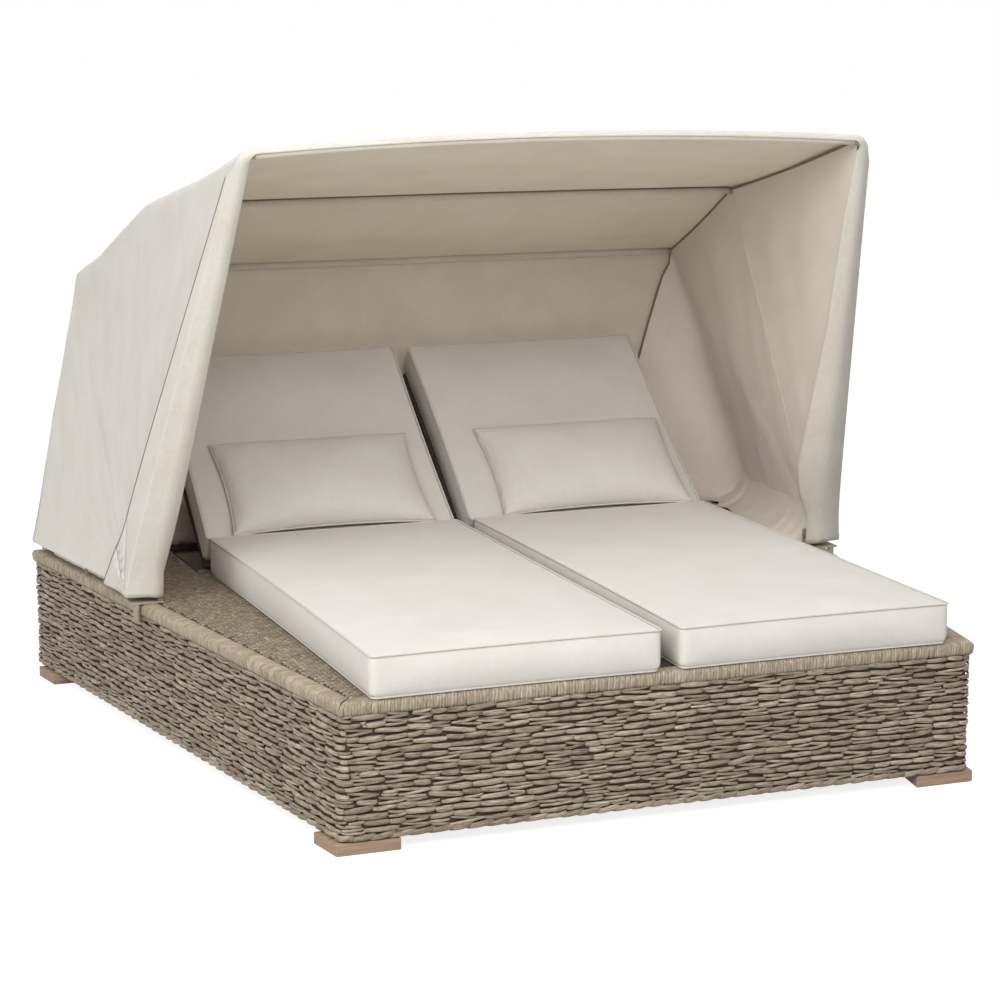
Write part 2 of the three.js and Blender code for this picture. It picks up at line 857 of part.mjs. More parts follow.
// Hem line just above the rim, at the same places as a bow's line
function hemLine() {
  const outline = bowLine(bows.rear, clothOffset);
  const count = outline.length;
  const half = (count - 1) / 2;
  const corner = legSteps + bowCornerSteps / 2;
  const headY = baseLength + hemOut;
  const startY = pivotY + clothStart;
  const right = [];
  for (let i = 0; i <= half; i += 1) {
    if (i <= corner) {
      const y = startY + ((headY - startY) * i) / corner;
      right.push(new THREE.Vector3(halfWidthAt(y) + hemOut, y, hemHeight));
    } else {
      const x = (halfWidthAt(headY) + hemOut) * (1 - (i - corner) / (half - corner));
      right.push(new THREE.Vector3(x, headY, hemHeight));
    }
  }
  right[corner].x -= hemRound * hemCornerShare;
  right[corner].y -= hemRound * hemCornerShare;
  const left = right.slice(0, -1).map((point) => new THREE.Vector3(-point.x, point.y, point.z));
  return [...left, ...right.reverse()];
}

// Side distance of the canopy's outer face at an angle and reach about the right pivot
function sideFace(angle, reach) {
  const legX = (bow) => bow.pivotHalf + ((bow.topHalf - bow.pivotHalf) * reach) / bow.reach;
  const stops = [
    [0, halfWidthAt(pivotY + reach) + hemOut],
    ...[bows.rear, bows.middle, bows.front].map((bow) => [bow.angle, legX(bow) + clothOffset + clothLegEase]),
  ];
  let next = 1;
  while (next < stops.length - 1 && stops[next][0] < angle) next += 1;
  const [[a0, x0], [a1, x1]] = stops.slice(next - 1, next + 1);
  const face = x0 + (x1 - x0) * THREE.MathUtils.clamp((angle - a0) / (a1 - a0), 0, 1);
  return Math.max(face, pinOuter - reach * pinClearSlope);
}

// Cloth strip round the front bow: a lip round the tube, then a flap back to the seam
function wrapGrid(centres, normals, middleLine) {
  const count = centres.length;
  const half = (count - 1) / 2;
  const rows = [];
  for (let i = 0; i <= half; i += 1) {
    const at = count - 1 - i;
    const [centre, out] = [centres[at], normals[at]];
    const back = new THREE.Vector3().subVectors(middleLine[at], centre).normalize();
    const offset = wrapOffset + wrapLegEase * (1 - roofShare(at / (count - 1)));
    const lip = lipTurns.map((turn) =>
      centre
        .clone()
        .addScaledVector(out, offset * Math.cos(turn))
        .addScaledVector(back, -offset * Math.sin(turn)),
    );
    const start = centre.clone().addScaledVector(out, offset);
    const flap = [];
    for (let k = 0; k <= gapSteps; k += 1) {
      const share = k / gapSteps;
      const point = i < legSteps ? flapPoint(start, i / legSteps, share) : bandPoint(start, back, share);
      flap.push(point);
    }
    rows.push([...lip, ...flap]);
  }
  const mirroredRows = rows.slice(0, -1).map((row) => row.map((p) => new THREE.Vector3(-p.x, p.y, p.z)));
  return [...mirroredRows, ...rows.reverse()];
}

// Side flap: from the bow's outer side to the seam, which runs from the top corner to the hem
function flapPoint(start, rise, share) {
  const bow = bows.front;
  const top = bowPoint(bow, bow.reach - bowCorner, 0);
  top.addScaledVector(new THREE.Vector3(0, Math.sin(bow.angle), -Math.cos(bow.angle)), wrapBand);
  const seam = new THREE.Vector3(0, seamHemY, wrapHemZ).lerp(top, rise);
  const place = new THREE.Vector3(0, start.y, start.z).lerp(seam, share);
  const [dy, dz] = [place.y - pivotY, place.z - pivotZ];
  const face = sideFace(Math.max(0, Math.atan2(dz, dy)), Math.hypot(dy, dz));
  place.x = Math.max(start.x - share * bowCorner, face + wrapLegEase);
  return place;
}

// Roof band: straight back from the bow over the roof cloth
function bandPoint(start, back, share) {
  return start.clone().addScaledVector(back, wrapBand * share);
}

function addCanopyCloth() {
  const [front, middle, rear] = [bows.front, bows.middle, bows.rear].map((bow) => bowLine(bow, 0));
  const hem = hemLine();
  const frontNormals = spanNormals(front, middle);
  const rearNormals = spanNormals(middle, rear);
  const backNormals = spanNormals(rear, hem);
  const overFront = coveringLine(front, frontNormals, frontNormals);
  const overMiddle = coveringLine(middle, frontNormals, rearNormals);
  const overRear = coveringLine(rear, rearNormals, backNormals);
  add("canopy_front", clothSheet(spanGrid(overFront, overMiddle, sagging)), canopyCloth);
  add("canopy_rear", clothSheet(spanGrid(overMiddle, overRear, sagging)), canopyCloth);
  add("canopy_back", clothSheet(spanGrid(overRear, hem, backShape)), canopyCloth);
  add("canopy_wrap", clothSheet(wrapGrid(front, frontNormals, middle)), canopyCloth);
}

// Bracket: a plate on the rim with an ear for the pivot pin and a socket tube down the outer face
function addPivots() {
  addPair(
    "pivot_bracket",
    () => {
      const bracketInner = halfWidthAt(pivotY) - bracketIn;
      const bracketOuter = halfWidthAt(pivotY) + bracketOut;
      const y0 = pivotY - bracketLength / 2;
      const y1 = pivotY + bracketLength / 2;
      const seat = deckTop + gap;
      const plateTop = seat + bracketPlate;
      const plate = block(bracketInner, bracketOuter, y0, y1, seat, plateTop);
      const ear = block(
        bracketInner,
        bracketInner + bracketEar,
        pivotY - earLength / 2,
        pivotY + earLength / 2,
        seat + bracketPlate / 2,
        pivotZ + earRise,
      );
      const socketX = halfWidthAt(y0) + rimProud + socketRadius + 2 * gap + rimProud;
      const socketY = y0 + socketRadius;
      const socket = rod(
        new THREE.Vector3(socketX, socketY, seat - socketDrop),
        new THREE.Vector3(socketX, socketY, plateTop - gap),
        socketRadius,
      );
      const hole = rod(
        new THREE.Vector3(bracketInner - gap, pivotY, pivotZ),
        new THREE.Vector3(bracketInner + bracketEar + gap, pivotY, pivotZ),
        pinRadius + gap,
      );
      return cut(join(plate, ear, socket), hole);
    },
    taupeTube,
  );
  addPair(
    "pivot_pin",
    () =>
      rod(
        new THREE.Vector3(halfWidthAt(pivotY) - bracketIn - bracketPlate, pivotY, pivotZ),
        new THREE.Vector3(pinOuter, pivotY, pivotZ),
        pinRadius,
      ),
    steel,
  );
}

// Small tie at the hem: a knot with a short end
function addTies() {
  addPair(
    "hem_tie",
    () => {
      const x = halfWidthAt(tieY) + hemOut;
      const z = hemHeight + seamMargin - gap - knotRadius;
      const knot = new THREE.SphereGeometry(knotRadius, tubeSides / 2, tubeSides / 2);
      const [top, bottom] = [z, z - tieDrop].map((height) => new THREE.Vector3(x, tieY, height));
      return join(knot.translate(x, tieY, z), rod(top, bottom, tieRadius / 2));
    },
    canopyCloth,
  );
}

addWickerWalls();
addRim();
addFrame();
addDeck();
addFeet();
addSeatCushions();
addBackrests();
for (const [name, bow] of Object.entries(bows)) addBow(name, bow);
addCanopyCloth();
addPivots();
addTies();

// Origin at the middle of the bounding box, on the floor
const extent = new THREE.Box3().setFromObject(daybed);
const middleY = (extent.min.y + extent.max.y) / 2;
for (const mesh of daybed.children) {
  mesh.geometry.translate(0, -middleY, 0);
}

export default daybed;
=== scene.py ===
"""Outdoor double daybed with a folding canopy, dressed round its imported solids.

Metres, X to the side, Y from the foot end to the head end, Z up. The sizes of the base, the bows
and the cloth are the solids' own, counted from the foot end on the floor.
"""
import json
import math
import random
from contextlib import contextmanager

import bmesh
import bpy
import numpy as np
from mathutils import Matrix, Vector, noise

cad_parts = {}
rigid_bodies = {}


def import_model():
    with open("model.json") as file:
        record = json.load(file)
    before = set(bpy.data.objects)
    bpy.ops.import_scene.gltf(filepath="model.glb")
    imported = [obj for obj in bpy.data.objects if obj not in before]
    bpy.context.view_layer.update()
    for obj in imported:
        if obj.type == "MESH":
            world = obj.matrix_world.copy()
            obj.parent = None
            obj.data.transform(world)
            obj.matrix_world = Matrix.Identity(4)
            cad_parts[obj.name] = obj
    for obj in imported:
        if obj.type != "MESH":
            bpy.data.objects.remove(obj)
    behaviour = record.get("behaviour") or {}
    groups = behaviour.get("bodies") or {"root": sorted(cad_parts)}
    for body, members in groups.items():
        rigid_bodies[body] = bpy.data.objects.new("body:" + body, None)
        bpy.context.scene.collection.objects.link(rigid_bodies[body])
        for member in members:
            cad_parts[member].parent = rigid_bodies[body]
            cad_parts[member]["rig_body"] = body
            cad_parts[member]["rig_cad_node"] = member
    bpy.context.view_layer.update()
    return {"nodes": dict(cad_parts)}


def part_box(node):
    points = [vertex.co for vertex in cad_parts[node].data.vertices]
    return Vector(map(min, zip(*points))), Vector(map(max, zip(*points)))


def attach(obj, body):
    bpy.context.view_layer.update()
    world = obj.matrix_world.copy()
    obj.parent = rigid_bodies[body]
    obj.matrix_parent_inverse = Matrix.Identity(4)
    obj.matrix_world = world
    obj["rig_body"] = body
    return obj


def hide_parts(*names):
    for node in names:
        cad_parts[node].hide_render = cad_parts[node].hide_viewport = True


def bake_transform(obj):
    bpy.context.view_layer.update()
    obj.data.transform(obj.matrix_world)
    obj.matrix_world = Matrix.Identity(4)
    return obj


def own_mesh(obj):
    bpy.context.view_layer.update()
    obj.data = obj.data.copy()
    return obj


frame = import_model()
foot_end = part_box("wicker_foot")[0].y

MM = 0.001
SIDES = (("left", -1), ("right", 1))

# Base
FOOT_HALF = 780 * MM
HEAD_HALF = 1080 * MM
BASE_LENGTH = 1822 * MM
WICKER_BOTTOM = 28 * MM
WICKER_THICK = 22 * MM
WICKER_ROWS = 18
DECK_TOP = 345 * MM
RIM_HEIGHT = 30 * MM
RIM_LOW = DECK_TOP - RIM_HEIGHT
RIM_WIDTH = 46 * MM
RIM_PROUD = 3 * MM
RIM_ROUND = 11 * MM
RIM_FAN = 130 * MM
CORNER_ROUND = 22 * MM
OUTLINE_STEPS = 7
SIDE_SLOPE = math.hypot(1, (HEAD_HALF - FOOT_HALF) / BASE_LENGTH)
DECK_PITCH = 11.5 * MM
PANEL_PITCH = 15 * MM
WALLS = ("foot", "right", "head", "left")

# Lying places, seats and backrests
PLACE_GAP = 21 * MM
PLACE_HALF = 714 * MM
PLACE_WIDTH = PLACE_HALF - PLACE_GAP
PLACE_MIDDLE = (PLACE_HALF + PLACE_GAP) / 2
SEAT_FRONT = -8 * MM
SEAT_REAR = 1310 * MM
SEAT_THICK = 96 * MM
SEAT_REACH = 34 * MM
SEAT_FULLNESS = 9 * MM
HINGE_Y = 1405 * MM
HINGE_Z = 340 * MM
RECLINE = math.radians(38.6)
PANEL_START = 6.3 * MM
PANEL_END = 660 * MM
PANEL_THICK = 22 * MM
PANEL_INSET = 14 * MM
BACK_START = 22 * MM
BACK_END = 690 * MM
BACK_THICK = 97 * MM
BACK_LIFT = 11.3 * MM
PILLOW_NEAR = 116 * MM
PILLOW_FAR = 676 * MM
PILLOW_START = 13 * MM
PILLOW_HEIGHT = 322 * MM
PILLOW_LIFT = 122.8 * MM
PILLOW_FRONT = 68 * MM
PILLOW_BACK = 9 * MM
PILLOW_EDGE = 6 * MM
PILLOW_PULL = 12 * MM

# Cushion covers
VOXEL = 8 * MM
PIPING = 2.4 * MM
CUSHION_CORNER = 15 * MM
SEAM_INSET = 2 * MM
BOX_PULL = 5 * MM
BOX_CROWN = 7 * MM
EDGE_TUCK = 9 * MM
EDGE_TUCK_HEIGHT = 16 * MM
END_SWELL = 5 * MM

# Canopy bows, about one pivot line
PIVOT_Y = 1095 * MM
PIVOT_Z = 377 * MM
PIVOT = Vector((0, PIVOT_Y + foot_end, PIVOT_Z))
BOW_RADIUS = 9 * MM
BOW_CORNER = 28 * MM
PIN_OUTER_CLEAR = 0.14
PIN_OUT = 23 * MM
BOWS = {
    "rear": {"back": 0.870, "rise": 0.703, "out": 0.012, "lean": 0.072, "crown": 0.0},
    "middle": {"back": 0.335, "rise": 0.923, "out": -0.008, "lean": 0.114, "crown": 0.004},
    "front": {"back": -0.466, "rise": 1.103, "out": -0.028, "lean": 0.136, "crown": 0.027},
}
# Each fan of cloth by the lower and the higher edge that it spans
FANS = {"front": ("middle", "front"), "rear": ("rear", "middle"), "back": ("hem", "rear")}

# Canopy cloth
CLOTH_THICK = 2.2 * MM
CLOTH_OFFSET = 10.8 * MM
CLOTH_LEG_EASE = 2.4 * MM
CLOTH_START = 50 * MM
HEM_HEIGHT = 372 * MM
HEM_OUT = 11 * MM
HEM_ROUND = 45 * MM
ROOF_SAG = 10 * MM
SIDE_SAG = 1.5 * MM
BACK_BULGE = 62 * MM
FOLD_DEPTH = 5 * MM
FOLD_COUNT = 7
WRAP_OFFSET = 14.1 * MM
WRAP_LEG_EASE = 12 * MM
WRAP_BAND = 42 * MM
WRAP_TOP_EASE = 0.25
FLAP_TOP_BAND = 0.3
LEFT_FACING = 0.4
SOFT_STEP = 10 * MM
WRAP_HEM_Z = 366 * MM
WRAP_FOOT_Z = 362 * MM
FOOT_ROWS = 5
LIP_SHORTER = 0.42
LIP_TURNS = (0.82, 0.7, 0.56, 0.42, 0.28, 0.14)
SEAM_HEM_Y = 1260 * MM
LINING_THICK = 1.6 * MM
LINING_IN = 13 * MM
LINING_TOP = 3 * MM
LINING_EDGE_SAG = 6 * MM
BACK_SEAM_IN = 13 * MM
LINING_HEM_Z = 349 * MM
LINING_HEM_IN = 18 * MM
LINING_STEPS = 60
CORNER_KEEP = 0.84
CORNER_SLANT = 420 * MM
SKIRT_REACH = 108 * MM
SKIRT_RISE = 135 * MM
FACING_TURN = math.radians(57)
# Widths in millimetres of the strip's folded-in edge, by the share of the way up its leg
FACING_WIDTHS = ((0.0, 3), (0.04, 28), (0.09, 58), (0.17, 72), (0.27, 61), (0.56, 29), (0.84, 19), (1.0, 3))
BINDING = 3.4 * MM
FLAP_SEAM = 2.6 * MM
LINING_SEAM = 0.8 * MM
PUCKER = 2.2 * MM
SLEEVE_THICK = 0.9 * MM
GAP_SHADE_LINE = 2.2 * MM
LEG_STEPS = 36
CORNER_STEPS = 10
BAR_STEPS = 28
SPAN_STEPS = 18
BAR_START = LEG_STEPS + CORNER_STEPS
HALF_STEPS = BAR_START + BAR_STEPS // 2

# Lamps: place, target, size and power; the world's light, the floor's glow, and the camera
LAMPS = {
    "key_softbox": ((-4.6, -3.4, 4.0), (0, 0, 0.5), (3.4, 3.4), 166),
    "side_softbox": ((-5.5, -0.6, 2.2), (-1.0, 0.2, 0.6), (3.0, 2.0), 32),
    "top_softbox": ((0.3, -1.6, 5.0), (0, -0.6, 0.4), (3.0, 3.0), 62),
    "front_softbox": ((-1.2, -4.8, 3.3), (0, 0.4, 0.7), (3.0, 2.0), 122),
}
WORLD_LIGHT = 0.42
FLOOR_GLOW = 0.835
CAMERA_LENS = 96.49
CAMERA_SENSOR = 36
CAMERA_PLACE = (-2.450, -6.324, 1.869)
CAMERA_TURN = (math.radians(79.059), 0, math.radians(-20.924))


def half_width(y):
    """Half width of the base's outer face at a distance from the foot end."""
    return FOOT_HALF + (HEAD_HALF - FOOT_HALF) * y / BASE_LENGTH


def side_x(y, inside):
    return half_width(y) - inside * SIDE_SLOPE


for bow in BOWS.values():
    bow["reach"] = math.hypot(bow["back"], bow["rise"])
    bow["angle"] = math.atan2(bow["rise"], bow["back"])
    bow["pivot_half"] = half_width(PIVOT_Y) + bow["out"]
    bow["top_half"] = bow["pivot_half"] - bow["lean"]


# Lines of points

def placed(points):
    """Points counted from the foot end, moved to the frame's own origin."""
    points = np.array(points, float)
    points[:, 1] += foot_end
    return points


def unit(vectors):
    return vectors / np.linalg.norm(vectors, axis=-1, keepdims=True)


def lengths_along(line):
    """Running length at each point of a line."""
    return np.concatenate([[0], np.cumsum(np.linalg.norm(np.diff(line, axis=0), axis=1))])


def on_line(stops, lengths, line):
    """Points of a line at some of its running lengths."""
    return np.column_stack([np.interp(stops, lengths, column) for column in line.T])


def curve_between(start, corner, end, t):
    return start * (1 - t) ** 2 + corner * 2 * t * (1 - t) + end * t ** 2


def between(first, second, share):
    """Grid between two lines, with one column for each share of the way."""
    return first[:, None, :] * (1 - share)[None, :, None] + second[:, None, :] * share[None, :, None]


# Pieces

def assign(target, **values):
    for key, value in values.items():
        setattr(target, key, value)


def read(items, key, kind=np.float32, width=1):
    """One value or row of values from each of a mesh's items."""
    values = np.empty(len(items) * width, kind)
    items.foreach_get(key, values)
    return values.reshape(-1, width) if width > 1 else values


def read_points(piece):
    return read(piece.data.vertices, "co", width=3).astype(float)


def write_points(piece, points):
    piece.data.vertices.foreach_set("co", points.astype(np.float32).ravel())
    piece.data.update()


def smooth(piece):
    piece.data.polygons.foreach_set("use_smooth", [True] * len(piece.data.polygons))


def make_object(name, data):
    """A new object in the scene, with its mesh, curve, lamp or camera."""
    thing = bpy.data.objects.new(name, data)
    bpy.context.scene.collection.objects.link(thing)
    return thing


def new_piece(name, points, faces):
    """A mesh piece from points counted from the foot end."""
    mesh = bpy.data.meshes.new(name)
    mesh.from_pydata([tuple(p) for p in placed(points)], [], [tuple(f) for f in faces])
    mesh.update()
    return make_object(name, mesh)


def dark_piece(name, points, faces):
    """A closed body of the dark layer behind the strands, coloured nearly black as painted shade."""
    piece = new_piece(name, points, faces)
    turn_outward(piece)
    piece.data.uv_layers.new(name="UVMap")
    piece.data.materials.append(SHADE_BACKING)
    return piece


def give_uv(piece, uv, at_corners=False):
    """UV from one value for each point, or for each corner of each face."""
    mesh = piece.data
    if not at_corners:
        uv = uv[read(mesh.loops, "vertex_index", np.int32)]
    layer = mesh.uv_layers.get("UVMap") or mesh.uv_layers.new(name="UVMap")
    layer.data.foreach_set("uv", uv.astype(np.float32).ravel())


def select_only(piece):
    bpy.ops.object.select_all(action="DESELECT")
    piece.select_set(True)
    bpy.context.view_layer.objects.active = piece


def apply_modifier(piece, kind, **settings):
    select_only(piece)
    modifier = piece.modifiers.new(kind.title(), kind)
    assign(modifier, **settings)
    bpy.ops.object.modifier_apply(modifier=modifier.name)


def smooth_by_angle(piece, degrees):
    select_only(piece)
    bpy.ops.object.shade_smooth_by_angle(angle=math.radians(degrees))


def primitive(add, stretch=(1, 1, 1), **settings):
    """One of Blender's own shapes, with its place and stretch in its mesh."""
    bpy.ops.object.select_all(action="DESELECT")
    add(**settings)
    shape = bpy.context.object
    shape.scale = stretch
    bpy.ops.object.transform_apply(location=True, rotation=True, scale=True)
    return shape


@contextmanager
def mesh_of(piece):
    """The piece's mesh, open for changes that are written back afterwards."""
    mesh = bmesh.new()
    mesh.from_mesh(piece.data)
    yield mesh
    mesh.to_mesh(piece.data)
    mesh.free()


def turn_outward(piece):
    """Turns all faces of a closed piece outward."""
    with mesh_of(piece) as mesh:
        bmesh.ops.recalc_face_normals(mesh, faces=mesh.faces)


def finish_with(piece, material, slot):
    piece.data.materials.clear()
    piece.data.materials.append(material)
    return piece


def stand_for(piece, body, *nodes):
    """The body that a piece moves with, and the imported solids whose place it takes."""
    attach(piece, body)
    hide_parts(*nodes)


def joined(name, pieces):
    """Several pieces made into one mesh."""
    select_only(pieces[0])
    for piece in pieces:
        piece.select_set(True)
    bpy.ops.object.join()
    pieces[0].name = pieces[0].data.name = name
    return pieces[0]


def copied(piece, name, mirror=False):
    """A copy with its own mesh, mirrored to the other side if wanted."""
    copy = piece.copy()
    copy.data = piece.data.copy()
    copy.name = copy.data.name = name
    bpy.context.scene.collection.objects.link(copy)
    if mirror:
        copy.data.transform(Matrix.Scale(-1, 4, (1, 0, 0)))
        copy.data.flip_normals()
    return copy


def tube(name, points, radius, resolution, closed=False):
    """A round tube along a line of points, as a mesh with closed ends."""
    curve = bpy.data.curves.new(name, "CURVE")
    assign(curve, dimensions="3D", bevel_depth=radius, bevel_resolution=resolution, use_fill_caps=not closed)
    spline = curve.splines.new("POLY")
    spline.points.add(len(points) - 1)
    spline.points.foreach_set("co", np.column_stack([points, np.ones(len(points))]).ravel())
    assign(spline, use_cyclic_u=closed, use_smooth=True)
    piece = make_object(name, curve)
    select_only(piece)
    bpy.ops.object.convert(target="MESH")
    with mesh_of(piece) as mesh:
        bmesh.ops.remove_doubles(mesh, verts=mesh.verts, dist=1e-5)
        bmesh.ops.recalc_face_normals(mesh, faces=mesh.faces)
    return piece


def pair_of_seams(name, line, radius, cloth):
    """The same seam on the left and on the right, as one piece."""
    seams = [tube("seam", placed(line * (sign, 1, 1)), radius, 2) for _, sign in SIDES]
    for seam in seams:
        give_uv(seam, read_points(seam)[:, 1:])
    return finish_with(joined(name, seams), cloth, "canopy_fabric")


# Materials

def linear(hex_colour):
    """sRGB hex colour as linear values."""
    parts = [int(hex_colour[i:i + 2], 16) / 255 for i in (1, 3, 5)]
    return [p / 12.92 if p <= 0.04045 else ((p + 0.055) / 1.055) ** 2.4 for p in parts] + [1.0]


def fill(tree, socket, value):
    """Links a socket to another one, or sets it to a value or a hex colour."""
    if isinstance(value, bpy.types.NodeSocket):
        tree.links.new(value, socket)
    else:
        socket.default_value = linear(value) if isinstance(value, str) else value


def add_node(tree, kind, sockets=None, **settings):
    """Adds one node with its settings. Its sockets go by number or name, and are filled as above."""
    node = tree.nodes.new(kind)
    assign(node, **settings)
    for key, value in (sockets or {}).items():
        fill(tree, node.inputs[key], value)
    return node


def new_material(name, roughness, **shader):
    """A material and its node tree, ready for its pattern."""
    material = bpy.data.materials.new(name)
    material.use_nodes = True
    surface = material.node_tree.nodes["Principled BSDF"].inputs
    surface["Roughness"].default_value = roughness
    for key, value in shader.items():
        surface[key.replace("_", " ")].default_value = value
    return material, material.node_tree


def dressed(material, colour, height=None, distance=0.0, strength=1.0):
    """The material with its colour and, where a height is given, its relief."""
    tree = material.node_tree
    surface = tree.nodes["Principled BSDF"].inputs
    fill(tree, surface["Base Color"], colour)
    if height is not None:
        relief = add_node(tree, "ShaderNodeBump", {"Distance": distance, "Strength": strength, "Height": height})
        fill(tree, surface["Normal"], relief.outputs["Normal"])
    return material


def ramp(tree, factor, *stops):
    """A colour ramp over a factor, from (place, hex colour) stops."""
    node = add_node(tree, "ShaderNodeValToRGB", {"Fac": factor})
    elements = node.color_ramp.elements
    while len(elements) < len(stops):
        elements.new(0.5)
    for element, (place, colour) in zip(elements, stops):
        assign(element, position=place, color=linear(colour))
    return node.outputs["Color"]


def scaled(tree, source, *sizes):
    """UV or Object coordinates stretched so that one unit is the given size in millimetres on each axis."""
    scale = [1 / (size * MM) for size in sizes] + [1] * (3 - len(sizes))
    coordinates = add_node(tree, "ShaderNodeTexCoord").outputs[source]
    return add_node(tree, "ShaderNodeMapping", {"Scale": scale, "Vector": coordinates}).outputs["Vector"]


def noise_at(tree, source, sizes, detail=2.0, roughness=0.5):
    sockets = {"Scale": 1.0, "Detail": detail, "Roughness": roughness, "Vector": scaled(tree, source, *sizes)}
    return add_node(tree, "ShaderNodeTexNoise", sockets).outputs["Fac"]


def multiplied(tree, factor, first, second):
    """The first colour times the second, by a share."""
    sockets = {0: factor, 6: first, 7: second}
    return add_node(tree, "ShaderNodeMix", sockets, data_type="RGBA", blend_type="MULTIPLY").outputs[2]


def maths(tree, operation, *values):
    return add_node(tree, "ShaderNodeMath", dict(enumerate(values)), operation=operation).outputs[0]


def make_wicker(name, tones, groove, depth):
    """Extruded polyethylene strand, flat and twisted: fibres run along each strand, drawn coarser than
    their real half millimetre so that they show, and each strand has its own weathered tone."""
    material, tree = new_material(name, 0.62)
    tone = add_node(tree, "ShaderNodeAttribute", attribute_name="tone").outputs["Fac"]
    fibre = noise_at(tree, "UV", (26, 2.4), 3.0, 0.6)
    streaks = ramp(tree, fibre, (0.34, groove), (0.5, "#ddd6cc"), (0.66, "#ffffff"))
    patches = ramp(tree, noise_at(tree, "UV", (30, 9)), (0.35, "#c9c0b4"), (0.65, "#ffffff"))
    coloured = multiplied(tree, 0.85, ramp(tree, tone, *zip((0.0, 0.35, 0.7, 1.0), tones)), streaks)
    return dressed(material, multiplied(tree, 0.6, coloured, patches), fibre, depth, 0.9)


def make_shade_backing():
    """Inner layer of the weave, nearly black brown: painted shade for the gaps between the strands."""
    material, tree = new_material("weave_backing_painted_shade", 0.8)
    return dressed(material, ramp(tree, noise_at(tree, "Object", (12, 12, 4)), (0.3, "#2e261f"), (0.7, "#54483b")))


def make_cloth(name, colour, shade, thread_mm, roughness, sheen, **shader):
    """Plain woven outdoor cloth: matt, with a fine thread grid drawn coarser than its real half
    millimetre so that it shows, and slightly uneven dye."""
    material, tree = new_material(
        name, roughness, Sheen_Weight=sheen, Sheen_Roughness=0.5, Specular_IOR_Level=0.25, **shader
    )
    parts = add_node(tree, "ShaderNodeSeparateXYZ", {"Vector": scaled(tree, "UV", thread_mm, thread_mm)}).outputs
    waves = [maths(tree, "SINE", maths(tree, "MULTIPLY", parts[axis], math.tau)) for axis in "XY"]
    slub = noise_at(tree, "UV", (14, 2))
    dye = ramp(tree, noise_at(tree, "UV", (160, 160), 3.0, 0.6), (0.3, shade), (0.7, colour))
    dyed = multiplied(tree, 0.7, dye, ramp(tree, slub, (0.3, "#f7f5f2"), (0.6, "#ffffff")))
    grid = maths(tree, "MULTIPLY", maths(tree, "MULTIPLY", *waves), 0.5)
    return dressed(material, dyed, maths(tree, "ADD", grid, maths(tree, "MULTIPLY", slub, 0.4)), 0.25 * MM, 0.6)


def make_teak():
    """Sanded, unoiled teak: fine straight grain along the block and slightly darker end grain."""
    material, tree = new_material("foot_teak_sanded", 0.6, Specular_IOR_Level=0.35)
    grain = noise_at(tree, "Object", (60, 3, 2.2), 4.0, 0.6)
    wood = ramp(tree, grain, (0.25, "#8d7965"), (0.5, "#a28d79"), (0.8, "#b4a18e"))
    bands = ramp(tree, noise_at(tree, "Object", (200, 14, 9)), (0.3, "#dccbb9"), (0.7, "#ffffff"))
    return dressed(material, multiplied(tree, 0.7, wood, bands), grain, 0.3 * MM, 0.5)


def make_powder_coat():
    """Powder coated aluminium tube: satin taupe paint with a fine orange peel."""
    material, tree = new_material("canopy_tube_powder_coated_aluminium", 0.5)
    paint = ramp(tree, noise_at(tree, "Object", (35, 35, 35), 3.0), (0.3, "#978a79"), (0.7, "#a59887"))
    return dressed(material, paint, noise_at(tree, "Object", (1.6, 1.6, 1.6)), 0.12 * MM, 0.5)


def make_steel():
    """Drawn stainless steel pin: bright, with fine turning lines."""
    material, tree = new_material("pin_drawn_stainless_steel", 0.32, Metallic=1.0)
    lines = noise_at(tree, "Object", (0.8, 20, 20))
    return dressed(material, ramp(tree, lines, (0.3, "#8f8d8a"), (0.7, "#b3b1ad")), lines, 0.05 * MM, 0.4)


WICKER = make_wicker(
    "wicker_strand_extruded_polyethylene", ("#9b8e7e", "#aa9e8e", "#b9ad9e", "#c9beae"), "#75695b", 1.4 * MM
)
# Paler than the wall strands, with paler grooves: painted light standing for the light from above on the rolls
LIT_BORDER_WICKER = make_wicker(
    "border_strand_polyethylene_painted_light", ("#b1a594", "#b9ad9d", "#c2b7a8", "#ccc2b3"), "#a99d8e", 0.6 * MM
)
# Nearly black painted shade, behind the weave and under the wraps, the deck's plaits and the panels' plaits
SHADE_BACKING = make_shade_backing()
CUSHION_CLOTH = make_cloth("cushion_cover_woven_acrylic", "#e0dcd5", "#d9d4cc", 1.6, 0.95, 0.15)
# Daylight comes through the canvas, so it scatters light under its surface
CANOPY_CLOTH = make_cloth(
    "canopy_canvas_woven_polyester", "#ddd7cc", "#d5cdc2", 1.8, 0.92, 0.1,
    Subsurface_Weight=0.8, Subsurface_Radius=(1.0, 0.87, 0.72), Subsurface_Scale=7 * MM,
)
# Paler and warmer than the canopy canvas and with no light scattered through it: painted light for the daylight that
# comes through the canvas
LIT_LINING_CLOTH = make_cloth("lining_woven_polyester_painted_light", "#ede4da", "#e5dbcf", 1.8, 0.92, 0.1)
PIPING_CLOTH = make_cloth("piping_woven_acrylic", "#d6d1c8", "#cdc7bd", 1.6, 0.95, 0.15)
# Dark cloth of the seams, bindings and hem ties; on the seams and bindings the darkness is partly painted shade of
# the joints and overlapping edges
SEAM_SHADE_AND_TIE_CLOTH = make_cloth("seam_and_tie_polyester_with_painted_shade", "#8c8071", "#817566", 1.6, 0.9, 0.1)
TEAK = make_teak()
POWDER_COAT = make_powder_coat()
STEEL = make_steel()


# Woven base: one strand is drawn out, then laid many times along the walls

